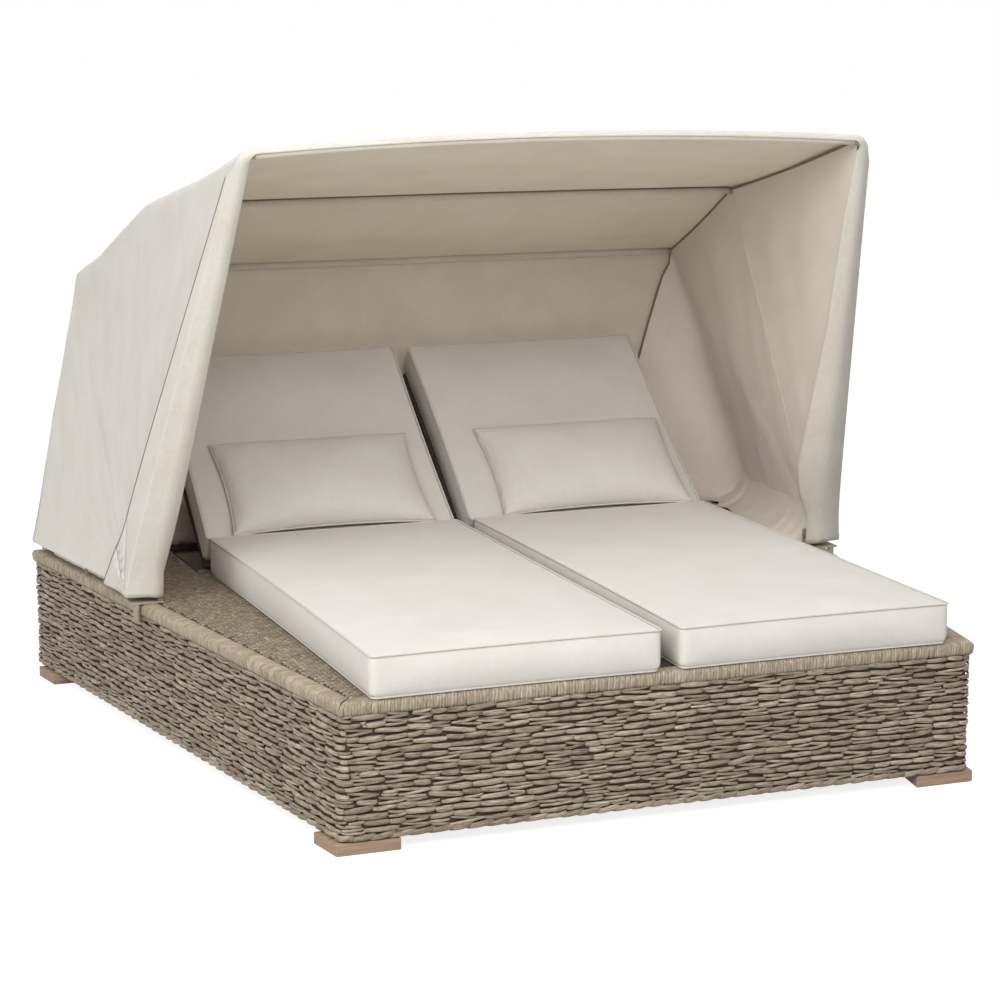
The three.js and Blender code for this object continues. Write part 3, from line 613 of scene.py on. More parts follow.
def drawn_out(sides, stations):
    """A closed bar drawn out along X, through stations of x, y, z, thickness along Y and height."""
    bar = primitive(
        bpy.ops.mesh.primitive_circle_add, vertices=sides, radius=0.5, fill_type="NGON", rotation=(0, math.pi / 2, 0)
    )
    bpy.ops.object.mode_set(mode="EDIT")
    bpy.ops.mesh.select_all(action="SELECT")
    x, y, z, thick, tall = stations[0]
    bpy.ops.transform.resize(value=(1, thick, tall), center_override=(0, 0, 0))
    bpy.ops.transform.translate(value=(x, y, z))
    for x1, y1, z1, thick1, tall1 in stations[1:]:
        bpy.ops.mesh.extrude_region_move(TRANSFORM_OT_translate={"value": (x1 - x, y1 - y, z1 - z)})
        bpy.ops.transform.resize(value=(1, thick1 / thick, tall1 / tall), center_override=(x1, y1, z1))
        x, y, z, thick, tall = x1, y1, z1, thick1, tall1
    bpy.ops.mesh.select_all(action="SELECT")
    bpy.ops.mesh.normals_make_consistent(inside=False)
    bpy.ops.object.mode_set(mode="OBJECT")
    shape = read_points(bar), [tuple(p.vertices) for p in bar.data.polygons]
    bpy.data.objects.remove(bar)
    return shape


def strand_shapes():
    """Flat strands that stand proud in the middle and dive between the stakes at both ends."""
    shapes = []
    for fat, lift, skew in ((1.0, 0.0, 0.0), (0.92, 0.12, 0.05), (0.84, -0.12, -0.05), (0.96, 0.3, -0.03)):
        stations = []
        for share in (-0.5, -0.44, -0.32, -0.11, 0.11, 0.32, 0.44, 0.5):
            rise = max(math.cos(math.pi * share), 0)
            out = (5.6 * rise ** 0.5 + lift - 6) * MM
            tall = 0.64 + 0.36 * fat * rise ** 0.42
            stations.append((share, out, skew * math.sin(6 * share), 6.0 * MM * (0.7 + 0.3 * rise), tall))
        shapes.append(drawn_out(7, stations))
    return shapes


def base_outline():
    """Closed outline of the base with rounded corners, from the middle of its first corner."""
    corners = np.array([(-FOOT_HALF, 0), (FOOT_HALF, 0), (HEAD_HALF, BASE_LENGTH), (-HEAD_HALF, BASE_LENGTH)])
    t = np.linspace(0, 1, OUTLINE_STEPS + 1)[:, None]
    arcs = []
    for before, here, after in zip(np.roll(corners, 1, axis=0), corners, np.roll(corners, -1, axis=0)):
        start, end = (here + unit(other - here) * CORNER_ROUND for other in (before, after))
        arcs.append(curve_between(start, here, end, t))
    points = np.roll(np.vstack(arcs), -(OUTLINE_STEPS // 2), axis=0)
    return np.vstack([points, points[:1]])


OUTLINE = base_outline()
OUTLINE_LENGTHS = lengths_along(OUTLINE)


def wall_spans():
    """Running length at which each wall starts and ends, from the middle of one corner to the next."""
    marks = [*OUTLINE_LENGTHS[:-1:OUTLINE_STEPS + 1], OUTLINE_LENGTHS[-1]]
    return {wall: (marks[i], marks[i + 1]) for i, wall in enumerate(WALLS)}


def wall_place(out, run, height):
    """Places at a running length round the base, moved out from its face, at a height."""
    here, ahead, behind = (
        on_line(np.mod(run + step, OUTLINE_LENGTHS[-1]), OUTLINE_LENGTHS, OUTLINE) for step in (0, 4 * MM, -4 * MM)
    )
    along = unit(ahead - behind)
    normal = np.column_stack([along[:, 1], -along[:, 0]])
    return np.column_stack([here + normal * out[:, None], height])


class Bundle:
    """Many copies of small shapes gathered into one mesh, with a tone and UV for each copy."""

    def __init__(self):
        self.points, self.faces, self.tones, self.uvs = [], [], [], []
        self.count = 0

    def add(self, points, faces, u, v, draw):
        """One copy, with its place in the pattern and its tone drawn at random."""
        self.points.append(points)
        self.faces.extend([tuple(i + self.count for i in face) for face in faces])
        self.uvs.append(np.column_stack([u + draw.random() * 10, v + draw.random() * 10]))
        self.tones.append(np.full(len(points), draw.random()))
        self.count += len(points)

    def make(self, name, material, core):
        """All copies and their dark core as one woven piece."""
        piece = new_piece(name, np.vstack(self.points), self.faces)
        smooth(piece)
        tones = piece.data.attributes.new("tone", "FLOAT", "POINT")
        tones.data.foreach_set("value", np.concatenate(self.tones).astype(np.float32))
        give_uv(piece, np.vstack(self.uvs))
        return joined(name, [finish_with(piece, material, "woven_wicker"), core])


def lay_strand(bundle, shape, draw, run, height, length, tall, slant, out):
    """One strand of the walls, bent round the corners where it meets them."""
    points, faces = shape
    along, rise = points[:, 0] * length, points[:, 2] * tall
    places = wall_place(points[:, 1] + out, run + along, height + rise + along * slant)
    bundle.add(places, faces, along, rise, draw)


def make_walls():
    """The four woven walls, each with its strands and the dark layer behind them."""
    draw = random.Random(11)
    shapes = strand_shapes()
    spans = wall_spans()
    bundles = {wall: Bundle() for wall in WALLS}
    total = OUTLINE_LENGTHS[-1]
    pitch = (RIM_LOW - WICKER_BOTTOM) / WICKER_ROWS
    for row in range(WICKER_ROWS):
        height = WICKER_BOTTOM + pitch * (row + 0.5)
        run = draw.random() * 60 * MM
        end = run + total
        while run < end - 10 * MM:
            length = min(draw.uniform(*((38, 82) if row else (40, 48))) * MM, end - run)
            middle = run + length / 2
            bundle = next(bundles[wall] for wall, (a, b) in spans.items() if a <= middle % total <= b)
            jitter = draw.uniform(-1.2, 1.2) * MM
            shape = draw.choice(shapes)
            if not row:
                lay_strand(bundle, shape, draw, middle, height + 1.5 * MM, length * 1.35, pitch * 0.9, 0.11, 0.5 * MM)
            elif draw.random() < 0.34:
                slant = draw.uniform(0.02, 0.11) * draw.choice((-1, 1))
                for part in (-1, 1):
                    lay_strand(
                        bundle, draw.choice(shapes), draw, middle + draw.uniform(-6, 6) * MM,
                        height + part * pitch * 0.23, length * draw.uniform(0.96, 1.1),
                        pitch * 0.46, slant * part, draw.uniform(-1.8, 0.8) * MM,
                    )
            else:
                slant = draw.gauss(0, 0.045)
                lay_strand(
                    bundle, shape, draw, middle, height + jitter, length * draw.uniform(1.0, 1.1),
                    pitch * draw.uniform(0.7, 0.96), slant, draw.uniform(-1.8, 1.2) * MM,
                )
            run += length
    for wall, bundle in bundles.items():
        piece = bundle.make(f"weave_{wall}", WICKER, wall_backing(wall, *spans[wall]))
        stand_for(piece, "base", f"wicker_{wall}")


def swept_core(name, ring, runs, place):
    """Closed dark body swept along running lengths, from a ring of distances and heights."""
    sides, count = len(ring), len(runs)
    points = np.vstack([place(np.full(count, out), runs, np.full(count, z)) for out, z in ring])
    faces = []
    for k in range(sides):
        a, b = k * count, (k + 1) % sides * count
        faces += [(a + i, a + i + 1, b + i + 1, b + i) for i in range(count - 1)]
    faces += [tuple(k * count for k in range(sides)), tuple(k * count + count - 1 for k in reversed(range(sides)))]
    return dark_piece(name, points, faces)


def wall_backing(wall, start, end):
    """Closed dark layer behind the strands of one wall."""
    outer, inner = -8.5 * MM, -WICKER_THICK
    top, bottom = RIM_LOW - 0.5 * MM, WICKER_BOTTOM + 1 * MM
    runs = np.array(sorted({start, end, *(run for run in OUTLINE_LENGTHS if start <= run <= end)}))
    ring = [(outer, bottom), (outer, top), (inner, top), (inner, bottom)]
    return swept_core(f"backing_{wall}", ring, runs, wall_place)


# Wrapped border rolls

def rim_crossing(inside, head):
    """Corner of the rolls' mitre at a distance inside the outer face, at the head end or the foot end."""
    y = BASE_LENGTH + RIM_PROUD - inside if head else inside - RIM_PROUD
    return side_x(y, inside - RIM_PROUD), y


def rim_path():
    """Path of one wrap in the roll's section: distance inside and height."""
    top, low = DECK_TOP - 1.2 * MM, RIM_LOW - 1 * MM
    arc = [math.pi * k / 8 for k in range(5)]
    x, z = RIM_ROUND + 1 * MM, top - RIM_ROUND
    return np.array([
        (4.5 * MM, low), (1.6 * MM, low + 7 * MM),
        *((x - RIM_ROUND * math.cos(a), z + RIM_ROUND * math.sin(a)) for a in arc),
        (26 * MM, top + 0.8 * MM), (38 * MM, top), (RIM_WIDTH - 1 * MM, top - 5 * MM),
    ])


def lay_wrap(bundle, shape, draw, start, slope, path, width, thick, roll):
    """One wrap over a border roll at a running place between its two mitred ends."""
    points, faces = shape
    share = points[:, 0]
    stops = np.linspace(0, 1, len(path))
    here, ahead, behind = (on_line(np.clip(share + step, 0, 1), stops, path) for step in (0, 0.04, -0.04))
    across = unit(ahead - behind)
    inside, height = (here + np.column_stack([-across[:, 1], across[:, 0]]) * points[:, 1:2] * thick).T
    side = points[:, 2] * width
    places = roll(inside, start + side + slope * (share - 0.5), height)
    bundle.add(places, faces, share * 0.09, side, draw)


def roll_place(wall):
    """Length of a roll along its outer edge, and a function that places points on it."""
    if wall in ("foot", "head"):
        half = rim_crossing(0, wall == "head")[0]

        def place(inside, run, height):
            limit, y = rim_crossing(inside, wall == "head")
            reach = np.abs(run - half)
            near = np.clip((reach - (half - RIM_FAN)) / RIM_FAN, 0, 1.03)
            return np.column_stack([np.sign(run - half) * (reach - near * (half - limit)), y, height])

        return 2 * half, place
    sign = dict(SIDES)[wall]
    first = rim_crossing(0, False)[1]
    length = rim_crossing(0, True)[1] - first

    def place(inside, run, height):
        low = np.clip((RIM_FAN - run) / RIM_FAN, 0, 1.03)
        high = np.clip((run - (length - RIM_FAN)) / RIM_FAN, 0, 1.03)
        y = first + run + (low - high) * inside
        return np.column_stack([sign * side_x(y, inside - RIM_PROUD), y, height])

    return length, place


def make_rims():
    """The four border rolls, each with its wraps round a dark core."""
    draw = random.Random(23)
    ends = (0, 10)
    shape = drawn_out(6, [(k / 10, 0, 0, *(2 * [0.8 if k in ends else 1.0])) for k in range(11)])
    path = rim_path()
    ring = [*(path + (1.8 * MM, -1.8 * MM)), (RIM_WIDTH - 1 * MM, RIM_LOW), (6 * MM, RIM_LOW)]
    for wall in WALLS:
        length, place = roll_place(wall)
        bundle = Bundle()
        run = 3 * MM
        while run < length - 3 * MM:
            width = draw.uniform(5.4, 8.6) * MM
            slope = draw.gauss(4, 2.2) * MM
            thick = draw.uniform(3.6, 4.0) * MM
            lay_wrap(bundle, shape, draw, run + width / 2, slope, path, width * 1.36, thick, place)
            run += width
        near_ends = np.linspace(0, 0.13, 5)
        runs = np.concatenate([near_ends, np.linspace(0.16, length - 0.16, 6), length - near_ends[::-1]])
        piece = bundle.make(f"border_{wall}", LIT_BORDER_WICKER, swept_core(f"core_{wall}", ring, runs, place))
        stand_for(piece, "base", f"rim_{wall}")


# Flat plaited deck and backrest panels

def plaited(name, draw, corner, axes, length, width, pitch, board, keeps=None):
    """A field of over-and-under bits on a dark closed board. Each bit rides over the bit across it."""
    bundle = Bundle()
    points, faces = drawn_out(6, [
        (share, 0, (2.4 * math.cos(math.pi * share / 1.3) - 1.9) * MM, 0.86, 1.6 * MM)
        for share in (-0.62, -0.36, 0.0, 0.36, 0.62)
    ])
    lengths, sides, lifts = points[:, 0] * pitch * 1.05, points[:, 1] * pitch, points[:, 2]
    along, across, up = np.array(axes, float)
    for i in range(int(length / pitch)):
        for j in range(int(width / pitch)):
            middle = np.array(corner) + along * (i + 0.5) * pitch + across * (j + 0.5) * pitch
            if keeps is None or keeps(middle):
                first, second = (along, across) if (i + j) % 2 else (across, along)
                places = middle + np.outer(lengths, first) + np.outer(sides, second) + np.outer(lifts, up)
                bundle.add(places, faces, lengths, sides, draw)
    return bundle.make(name, WICKER, board)


def dark_board(name, lower, upper):
    """Closed dark board between two rings of corners."""
    count = len(lower)
    faces = [tuple(reversed(range(count))), tuple(range(count, 2 * count))]
    faces += [(i, (i + 1) % count, count + (i + 1) % count, count + i) for i in range(count)]
    return dark_piece(name, [*lower, *upper], faces)


def flat_board(name, outline, low, high):
    return dark_board(name, *([(x, y, z) for x, y in outline] for z in (low, high)))


def make_deck():
    """The plaited deck: open wedges beside the seats and backrests, and a plain field under the
    cushions."""
    draw = random.Random(31)
    inner = RIM_WIDTH - RIM_PROUD
    rear, end = HINGE_Y - PANEL_INSET, BASE_LENGTH - inner
    hidden, start, wall_x = PLACE_HALF - 70 * MM, PLACE_HALF - 60 * MM, PLACE_HALF + PANEL_INSET

    def keeps(middle):
        x, y = abs(middle[0]), middle[1]
        return (start if y < rear else wall_x + 4 * MM) < x < side_x(y, inner) - 3 * MM

    for side, sign in SIDES:
        outline = [
            (sign * x, y) for x, y in (
                (hidden, inner), (side_x(inner, inner), inner), (side_x(end, inner), end),
                (wall_x, end), (wall_x, rear), (hidden, rear),
            )
        ]
        board = flat_board(f"deck_board_{side}", outline, RIM_LOW, DECK_TOP - 3.4 * MM)
        piece = plaited(
            f"plaited_deck_{side}", draw, (sign * start, inner, DECK_TOP - 2.2 * MM),
            ((0, 1, 0), (sign, 0, 0), (0, 0, 1)), end - inner, side_x(end, inner) - start, DECK_PITCH, board, keeps,
        )
        stand_for(piece, "base", f"deck_side_{side}")
    outline = [(-hidden, inner), (hidden, inner), (hidden, rear), (-hidden, rear)]
    field = flat_board("deck_field", outline, RIM_LOW, DECK_TOP - 0.3 * MM)
    stand_for(field, "base", "deck_seat")


def make_panels():
    """Plaited rear faces of the backrests, on their boards."""
    draw = random.Random(37)
    along = np.array((0, math.cos(RECLINE), math.sin(RECLINE)))
    back = np.array((0, math.sin(RECLINE), -math.cos(RECLINE)))
    hinge = np.array((0, HINGE_Y, HINGE_Z))
    width = PLACE_HALF - PANEL_INSET / 2 - PLACE_GAP
    near, far = PLACE_GAP + 0.3 * MM, PLACE_GAP + width
    corners = ((PANEL_START, near), (PANEL_START, far), (PANEL_END, far), (PANEL_END, near))
    for side, sign in SIDES:
        lower, upper = (
            [hinge + along * reach + back * depth + (sign * x, 0, 0) for reach, x in corners]
            for depth in (PANEL_THICK / 2 - 3.4 * MM, -PANEL_THICK / 2)
        )
        corner = hinge + along * PANEL_START + back * (PANEL_THICK / 2 - 2.2 * MM) + (sign * near, 0, 0)
        piece = plaited(
            f"plaited_panel_{side}", draw, corner, (along, (sign, 0, 0), back),
            PANEL_END - PANEL_START, width, PANEL_PITCH, dark_board(f"panel_board_{side}", lower, upper),
        )
        stand_for(piece, f"backrest_{side}", f"backrest_panel_{side}")


# Feet

def make_feet():
    """Teak blocks with softened edges, and the posts that carry them behind the weave."""
    length, depth, out, post = 150 * MM, 110 * MM, 12 * MM, 60 * MM
    block_top = WICKER_BOTTOM - 0.3 * MM
    near = WICKER_THICK + 0.3 * MM
    for end, y0 in (("foot", 0.0), ("head", BASE_LENGTH - depth - RIM_WIDTH)):
        y1 = y0 + depth
        post_y = near if end == "foot" else y1 - post
        x1 = side_x(post_y, near)
        block_outline = [(side_x(y, -out) - off, y) for y, off in ((y0, length), (y0, 0), (y1, 0), (y1, length))]
        post_outline = [(x1 - post, post_y), (x1, post_y), (x1, post_y + post), (x1 - post, post_y + post)]
        for side, sign in SIDES:
            block = shaped_block(sign, block_outline, 0, block_top)
            apply_modifier(block, "BEVEL", width=2.5 * MM, segments=3, limit_method="ANGLE")
            leg = shaped_block(sign, post_outline, block_top - 2 * MM, RIM_LOW - 55.3 * MM)
            apply_modifier(leg, "BEVEL", width=2 * MM, segments=2, limit_method="ANGLE")
            piece = finish_with(joined(f"teak_foot_{end}_{side}", [block, leg]), TEAK, "teak")
            smooth_by_angle(piece, 35)
            stand_for(piece, "base", f"foot_{end}_{side}")


def shaped_block(sign, outline, low, high):
    """A cube whose upright edges are moved onto a four-cornered outline on the left or the right."""
    block = primitive(bpy.ops.mesh.primitive_cube_add, (1, 1, high - low), size=1, location=(0, 0, (low + high) / 2))
    outline = placed([(sign * x, y, 0) for x, y in outline])
    middle = outline.mean(axis=0)
    quarters = {(bool(x > middle[0]), bool(y > middle[1])): (x, y) for x, y, _ in outline}
    for vertex in block.data.vertices:
        vertex.co.x, vertex.co.y = quarters[vertex.co.x > 0, vertex.co.y > 0]
    turn_outward(block)
    return block


# Cushions: a boxed or knife-edged cover is shaped, filled by a pressure simulation that its seams
# hold, and then piped

def boxed_form(width, length, thick):
    """Foam block with rounded upright corners and softened edges, bottom face at height zero."""
    form = primitive(
        bpy.ops.mesh.primitive_cube_add, (width, length, thick), size=1, location=(0, 0, thick / 2)
    )
    bevel_edges(form, CUSHION_CORNER, 5, lambda a, b: abs(a.z - b.z) > thick / 2)
    bevel_edges(form, 6 * MM, 3, lambda a, b: abs(a.z - b.z) < thick / 4)
    return form


def bevel_edges(piece, width, segments, wanted):
    """Bevels the edges that a test on their two ends names."""
    select_only(piece)
    bpy.ops.object.mode_set(mode="EDIT")
    bpy.ops.mesh.select_mode(type="EDGE")
    bpy.ops.mesh.select_all(action="DESELECT")
    for edge in bmesh.from_edit_mesh(piece.data).edges:
        edge.select = wanted(edge.verts[0].co, edge.verts[1].co)
    bmesh.update_edit_mesh(piece.data)
    bpy.ops.mesh.bevel(offset=width, segments=segments, profile=0.5, affect="EDGES")
    bpy.ops.object.mode_set(mode="OBJECT")


def shape_box(points, width, length, thick):
    """Sides drawn in between the corners, ends that swell, a tucked lower edge and a crowned top."""
    u, v = points[:, 0] / (width / 2), points[:, 1] / (length / 2)
    across, along = np.clip(1 - u * u, 0, 1), np.clip(1 - v * v, 0, 1)
    rise = np.clip(points[:, 2] / thick, 0, 1)
    tuck = EDGE_TUCK * np.clip(1 - points[:, 2] / EDGE_TUCK_HEIGHT, 0, 1) ** 2
    swell = END_SWELL * 4 * rise * (1 - rise) * across ** 0.3
    shaped = points.copy()
    shaped[:, 0] *= 1 - (BOX_PULL * along + tuck) / (width / 2)
    shaped[:, 1] *= 1 - (BOX_PULL * across + tuck - swell) / (length / 2)
    shaped[:, 2] = points[:, 2] * (1 - BOX_CROWN / thick) + BOX_CROWN * np.sqrt(across * along) * rise
    return shaped


def box_seams(width, length, thick):
    """Top and bottom seam lines of a boxed cushion, as closed rings of points."""
    ring = []
    for quarter, (sx, sy) in enumerate(((1, -1), (1, 1), (-1, 1), (-1, -1))):
        centre = np.array([sx * (width / 2 - CUSHION_CORNER), sy * (length / 2 - CUSHION_CORNER)])
        for k in range(9):
            turn = math.pi / 2 * (quarter - 1 + k / 8)
            ring.append(centre + (CUSHION_CORNER - SEAM_INSET) * np.array([math.cos(turn), math.sin(turn)]))
    ring = refine_ring(ring, 12 * MM)
    rings = (np.column_stack([ring, np.full(len(ring), height)]) for height in (thick - 1.5 * MM, 3.2 * MM))
    return [shape_box(points, width, length, thick) for points in rings]


def refine_ring(ring, step):
    """A closed ring with no side longer than the step."""
    refined = []
    for a, b in zip(ring, ring[1:] + ring[:1]):
        parts = max(1, int(np.ceil(np.linalg.norm(b - a) / step)))
        refined += [a + (b - a) * k / parts for k in range(parts)]
    return np.array(refined)


def fill_by_pressure(piece, rings, hold, pressure, cap):
    """Blows the cover up a little with its seams held, and caps how far any point moves."""
    points = read_points(piece)
    seam = np.vstack(rings)
    chunks = [points[start:start + 4000, None, :] for start in range(0, len(points), 4000)]
    near = np.concatenate([np.linalg.norm(chunk - seam[None], axis=2).min(axis=1) for chunk in chunks])
    piece.vertex_groups.new(name="held").add(np.nonzero(near < hold)[0].tolist(), 1.0, "REPLACE")
    select_only(piece)
    modifier = piece.modifiers.new("Filling", "CLOTH")
    assign(
        modifier.settings, quality=5, mass=0.25, tension_stiffness=12, compression_stiffness=12, shear_stiffness=6,
        bending_stiffness=0.6, use_pressure=True, uniform_pressure_force=pressure, vertex_group_mass="held",
    )
    modifier.settings.effector_weights.gravity = 0
    modifier.collision_settings.use_collision = False
    for number in range(1, 21):
        bpy.context.scene.frame_set(number)
    bpy.ops.object.modifier_apply(modifier=modifier.name)
    bpy.context.scene.frame_set(1)
    moved = read_points(piece) - points
    moved *= np.minimum(1, cap / np.maximum(np.linalg.norm(moved, axis=1), 1e-9))[:, None]
    write_points(piece, points + moved)
    piece.vertex_groups.clear()


def lay_box_uv(piece):
    """UV in metres from the side that each face looks to."""
    mesh = piece.data
    at = read_points(piece)[read(mesh.loops, "vertex_index", np.int32)]
    facing = np.abs(read(mesh.polygons, "normal", width=3)).argmax(axis=1)
    facing = facing.repeat(read(mesh.polygons, "loop_total", np.int32))
    u = np.where(facing == 0, at[:, 1], at[:, 0])
    v = np.where(facing == 2, at[:, 1], at[:, 2])
    give_uv(piece, np.column_stack([u, v]), at_corners=True)


def covered(piece, rings):
    """The filled cover with its UV, material and piping, as one mesh."""
    parts = [piece] + [tube(f"piping_{k}", ring, PIPING, 4, closed=True) for k, ring in enumerate(rings)]
    for part in parts:
        lay_box_uv(part)
        part.data.materials.append(CUSHION_CLOTH if part is piece else PIPING_CLOTH)
    whole = joined(piece.name, parts)
    smooth(whole)
    return whole


def boxed_cushion(name, width, length, thick, cap):
    piece = boxed_form(width - 3 * MM, length - 3 * MM, thick)
    piece.name = name
    apply_modifier(piece, "REMESH", mode="VOXEL", voxel_size=VOXEL)
    write_points(piece, shape_box(read_points(piece), width, length, thick))
    rings = box_seams(width, length, thick)
    fill_by_pressure(piece, rings, 9 * MM, 4.0, cap)
    points = read_points(piece)
    points[:, 2] = np.maximum(points[:, 2], 0)
    write_points(piece, points)
    apply_modifier(piece, "SUBSURF", levels=1, render_levels=1)
    return covered(piece, rings)


def pillow_places(u, v, inset):
    """Places across and along the pillow from shares of its halves: its sides are drawn in."""
    half_x = (PILLOW_FAR - PILLOW_NEAR) / 2 - PILLOW_PULL * (1 - v * v) - inset
    half_y = PILLOW_HEIGHT / 2 - PILLOW_PULL * (1 - u * u) - inset
    return u * half_x, v * half_y


def pillow_form():
    """Knife-edged pillow: a full front, a nearly flat back and corners that stand out."""
    form = primitive(bpy.ops.mesh.primitive_cube_add, size=2)
    bpy.ops.object.mode_set(mode="EDIT")
    bpy.ops.mesh.subdivide(number_cuts=40)
    bpy.ops.object.mode_set(mode="OBJECT")
    u, v, w = read_points(form).T
    fill_share = ((1 - np.abs(u) ** 3) * (1 - np.abs(v) ** 3)).clip(0, 1) ** 0.52
    depth = np.where(w > 0, PILLOW_FRONT, PILLOW_BACK)
    lift = w * (PILLOW_EDGE - 2 * MM + depth * fill_share * 0.92)
    write_points(form, np.column_stack([*pillow_places(u, v, 2 * MM), lift]))
    return form


def pillow_seam():
    side = np.linspace(-1, 1, 40)[:-1]
    edge = np.ones(len(side))
    u, v = np.concatenate([side, edge, -side, -edge]), np.concatenate([-edge, side, edge, -side])
    return np.column_stack([*pillow_places(u, v, 1 * MM), np.zeros(len(u))])


def lumbar_pillow(name):
    piece = pillow_form()
    piece.name = name
    apply_modifier(piece, "REMESH", mode="VOXEL", voxel_size=6 * MM)
    ring = pillow_seam()
    fill_by_pressure(piece, [ring], 8 * MM, 3.0, 7 * MM)
    apply_modifier(piece, "SUBSURF", levels=1, render_levels=1)
    points = read_points(piece)
    points[:, 2] = np.clip(points[:, 2], -PILLOW_EDGE - PILLOW_BACK + 0.6 * MM, None)
    write_points(piece, points)
    return covered(piece, [ring])


def reclined(x, along, lift):
    """Place of a piece on a backrest, from where it lies when the backrest is flat."""
    flat = Matrix.Translation((x, along, lift))
    return Matrix.Translation((0, HINGE_Y + foot_end, HINGE_Z)) @ Matrix.Rotation(RECLINE, 4, "X") @ flat


def make_cushions():
    seat_length = SEAT_REAR - SEAT_FRONT + SEAT_REACH
    seat = boxed_cushion("seat", PLACE_WIDTH, seat_length, SEAT_THICK + SEAT_FULLNESS, 8 * MM)
    back = boxed_cushion("back", PLACE_WIDTH, BACK_END - BACK_START, BACK_THICK, 8 * MM)
    pillow = lumbar_pillow("pillow")
    seat_y = SEAT_FRONT + seat_length / 2 + foot_end
    for side, sign in SIDES:
        seat_place = Matrix.Translation((sign * PLACE_MIDDLE, seat_y, DECK_TOP + 0.4 * MM))
        back_place = reclined(sign * PLACE_MIDDLE, (BACK_START + BACK_END) / 2, BACK_LIFT)
        pillow_x = sign * (PILLOW_NEAR + PILLOW_FAR - 32 * MM) / 2 + 16 * MM
        pillow_place = reclined(pillow_x, PILLOW_START + PILLOW_HEIGHT / 2, PILLOW_LIFT)
        for model, name, place, body, node in (
            (seat, f"seat_{side}", seat_place, "base", f"seat_cushion_{side}"),
            (back, f"back_{side}", back_place, f"backrest_{side}", f"back_cushion_{side}"),
            (pillow, f"pillow_front_{side}", pillow_place, f"pillow_{side}", f"lumbar_pillow_{side}"),
        ):
            piece = copied(model, name, mirror=sign < 0)
            piece.data.transform(place)
            stand_for(piece, body, node)
            if model is seat:
                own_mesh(piece)
    for model in (seat, back, pillow):
        bpy.data.objects.remove(model)


# Canopy: the bows' lines, and the cloth laid over them

def leg_x(bow, reach):
    """Distance to the side of a bow's leg, at a reach from the pivot line."""
    return bow["pivot_half"] + (bow["top_half"] - bow["pivot_half"]) * reach / bow["reach"]


def bow_point(bow, reach, x):
    return (x, PIVOT_Y + reach * math.cos(bow["angle"]), PIVOT_Z + reach * math.sin(bow["angle"]))


def both_sides(right):
    """Left half mirrored and then the right half, as one line from left to right."""
    right = np.array(right, float)
    return np.vstack([right[:-1] * (-1, 1, 1), right[::-1]])


def bow_line(bow, start=()):
    """Line of a bow from left to right, from optional first reaches up both legs and over the bar."""
    leg_end = bow["reach"] - BOW_CORNER
    centre = leg_x(bow, leg_end) - BOW_CORNER
    places = [(reach, leg_x(bow, reach)) for reach in (*start, *np.linspace(CLOTH_START, leg_end, LEG_STEPS + 1))]
    for i in range(1, CORNER_STEPS + 1):
        turn = math.pi / 2 * i / CORNER_STEPS
        places.append((leg_end + BOW_CORNER * math.sin(turn), centre + BOW_CORNER * math.cos(turn)))
    for i in range(1, BAR_STEPS // 2 + 1):
        share = 1 - 2 * i / BAR_STEPS
        places.append((bow["reach"] + bow["crown"] * (1 - share ** 2), centre * share))
    return both_sides([bow_point(bow, *place) for place in places])


def roof_share(place):
    """Share of the roof at a place along a bow's line: 0 on the sides and 1 in the middle."""
    return np.sin(math.pi * place) ** 4


def span_normals(first, second):
    return unit(np.cross(np.gradient(first + second, axis=0), second - first))


def covering_line(line, before, after):
    mitre = unit(before + after)
    offset = CLOTH_OFFSET + CLOTH_LEG_EASE * (1 - roof_share(np.linspace(0, 1, len(line))))
    return line + mitre * (offset / np.sum(mitre * after, axis=1))[:, None]


def hem_line():
    """Hem just above the border roll, with rounded corners at the head end."""
    steps, corner = np.arange(HALF_STEPS + 1), LEG_STEPS + CORNER_STEPS // 2
    y = np.interp(steps, (0, corner), (PIVOT_Y + CLOTH_START, BASE_LENGTH + HEM_OUT))
    x = (half_width(y) + HEM_OUT) * np.interp(steps, (corner, HALF_STEPS), (1, 0))
    near = HEM_ROUND / 4 * np.exp(-((steps - corner) / 1.6) ** 2)
    return both_sides(np.column_stack([x - near, y - near, np.full(len(steps), HEM_HEIGHT)]))


def wrinkle(points, seed, size, depth, tall):
    """Uneven drape: smooth noise at each point, drawn out upward."""
    lifts = [
        noise.noise(Vector((x / size + seed * 7.3, y / size, z / tall / size))) * depth
        for x, y, z in points.reshape(-1, 3)
    ]
    return np.array(lifts).reshape(points.shape[:-1])


def uneven(places, scale, row):
    """Smooth noise along a line."""
    return np.array([noise.noise(Vector((place * scale, row, 0))) for place in places])


def span_grid(first, second, shape, seed):
    """Cloth between two lines: rows along the bows, columns across the gap, with its sag."""
    share = np.linspace(0, 1, SPAN_STEPS + 1)
    grid = between(first, second, share)
    arch = np.sin(math.pi * share)
    drape = wrinkle(grid, seed, 170 * MM, 5 * MM, 1.6) + wrinkle(grid, seed + 9, 60 * MM, 1.6 * MM, 2.2)
    lift = shape(np.linspace(0, 1, len(first)))[:, None] * arch + drape * np.clip(arch * 3, 0, 1)
    return grid + span_normals(first, second)[:, None, :] * lift[:, :, None]


def sagging(place):
    return -SIDE_SAG - (ROOF_SAG - SIDE_SAG) * roof_share(place)


def back_shape(place):
    """Bulge behind the backrests, in soft upright folds, that starts right at the corners."""
    corner = (LEG_STEPS + CORNER_STEPS / 2) / HALF_STEPS
    across = np.clip(np.abs(2 * place - 1) / (1 - corner), 0, 1)
    return (BACK_BULGE + np.sin(math.tau * FOLD_COUNT * place) * FOLD_DEPTH) * (1 - across ** 5)


